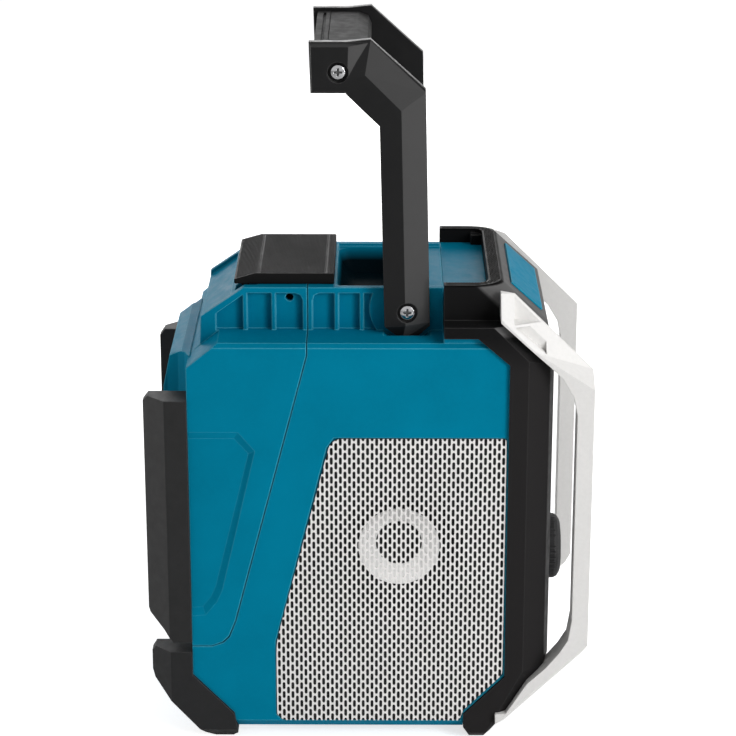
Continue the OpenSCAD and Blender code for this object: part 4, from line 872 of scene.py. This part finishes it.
arrowhead = [(1.2, 1.9), (3.2, 1.7), (2.0, 0.0)]
horn = [(-3, -0.9), (-1.6, -0.9), (0.2, -2.4), (0.2, 2.4), (-1.6, 0.9), (-3, 0.9)]
signs = {
    "power_button": ((-LARGE_X, UPPER_Z), [bow(125, 290, -0.2), rect(-0.3, 0.2, 0.3, 3.0)]),
    "source_button": ((LARGE_X, UPPER_Z), [bow(30, 130), bow(210, 130), arrowhead,
                                           [(-x, -z) for x, z in arrowhead]]),
    "menu_button": ((-LARGE_X, LOWER_Z), [rect(-3, z - 0.3, 3, z + 0.3) for z in (-2, 0, 2)]),
    "mute_button": ((LARGE_X, LOWER_Z), [horn] + [bar(1.2, z, 3.6, -z, SIGN_W) for z in (-1.3, 1.3)]),
}
for name, (centre, strokes) in signs.items():
    face_piece(name + "_mark", BUTTON_Y + PRINT_SINK, strokes, print_white, name, PRINT_T,
               centre)

# ---- floor, world, lights and camera, in metres ------------------------------------------

FLOOR_SIZE, FLOOR_NOISE, FLOOR_GREYS = 6, 3, (0.92, 0.94)
FLOOR_GLOW, FLOOR_SHINE = 0.7, 0.1       # seen by the camera, and mirrored in glossy faces
SKY_STRENGTH = 0.25
MIDDLE = (0, 0, 0.2)

# camera as it was fitted to the photo
FOCAL_PX, PHOTO_PX, SENSOR = 2509.4, 736, 36
CAMERA_PLACE = (-1.4728, -0.00775, 0.7202)
CAMERA_PITCH, CAMERA_YAW = math.radians(18.892), math.radians(0.303)


def floor():
    """White floor that is lit from within for the camera only, and a little for glossy faces."""
    look = Look("floor_white", (0.93, 0.93, 0.93), 0.6, 0.1)
    look.put("Base Color", look.ramp(look.noise(FLOOR_NOISE, 2), *NOISE_SPAN, *FLOOR_GREYS))
    paths = look.node("ShaderNodeLightPath").outputs
    shine = look.calc("MULTIPLY", paths["Is Glossy Ray"], FLOOR_SHINE)
    strength = look.calc("MULTIPLY_ADD", paths["Is Camera Ray"], FLOOR_GLOW, shine)
    glow = look.node("ShaderNodeEmission", {"Strength": strength})
    both = look.node("ShaderNodeAddShader", {0: look.shader.outputs[0], 1: glow.outputs[0]})
    look.feed(look.out.inputs[0], both.outputs[0])
    bm = bmesh.new()
    bmesh.ops.create_grid(bm, x_segments=2, y_segments=2, size=FLOOR_SIZE)
    obj = in_scene("floor", as_mesh(bm, "floor", outwards=False))
    obj.data.materials.append(look.mat)


def world():
    """Dim even light that looks white to the camera and in glossy faces."""
    made = bpy.data.worlds.new("studio")
    bpy.context.scene.world = made
    made.use_nodes = True
    nodes, links = made.node_tree.nodes, made.node_tree.links
    nodes.clear()
    paths, seen = nodes.new("ShaderNodeLightPath"), nodes.new("ShaderNodeMath")
    seen.operation = "MAXIMUM"
    links.new(paths.outputs["Is Camera Ray"], seen.inputs[0])
    links.new(paths.outputs["Is Glossy Ray"], seen.inputs[1])
    mix, out = nodes.new("ShaderNodeMixShader"), nodes.new("ShaderNodeOutputWorld")
    links.new(seen.outputs[0], mix.inputs[0])
    for socket, strength in ((1, SKY_STRENGTH), (2, 1.0)):
        sky = nodes.new("ShaderNodeBackground")
        sky.inputs["Color"].default_value = (1, 1, 1, 1)
        sky.inputs["Strength"].default_value = strength
        links.new(sky.outputs[0], mix.inputs[socket])
    links.new(mix.outputs[0], out.inputs[0])


def aim(obj, place, way):
    """Puts a lamp or a camera at a place, looking along a way."""
    obj.location = place
    obj.rotation_euler = way.to_track_quat("-Z", "Y").to_euler()


def lamp(name, place, target, size, watts, tall=None):
    """Square area light, or a tall one."""
    data = bpy.data.lights.new(name, "AREA")
    data.energy, data.size = watts, size
    if tall:
        data.shape, data.size_y = "RECTANGLE", tall
    aim(in_scene(name, data), place, Vector(target) - Vector(place))


floor()
world()
lamp("key", (-1.3, -1.3, 1.05), MIDDLE, 0.8, 17)
lamp("low", (-1.05, -1.25, 0.22), (0, -0.02, 0.27), 0.3, 5, tall=0.4)
lamp("top", (-0.5, -0.9, 1.7), (0, 0, 0.25), 0.6, 4)
lamp("rear", (0.3, 1.8, 0.55), MIDDLE, 1.0, 9)
lamp("front", (0.1, -1.9, 0.5), MIDDLE, 1.0, 5.5)
lamp("far", (1.7, 0.2, 0.7), MIDDLE, 1.2, 11)

camera = bpy.data.cameras.new("camera")
camera.sensor_width = SENSOR
camera.lens = FOCAL_PX / PHOTO_PX * SENSOR
camera.clip_end = 50
eye = in_scene("camera", camera)
aim(eye, CAMERA_PLACE, Vector((math.cos(CAMERA_PITCH) * math.cos(CAMERA_YAW),
                               math.cos(CAMERA_PITCH) * math.sin(CAMERA_YAW), -math.sin(CAMERA_PITCH))))
scene = bpy.context.scene
scene.camera = eye
scene.view_settings.view_transform = "Standard"
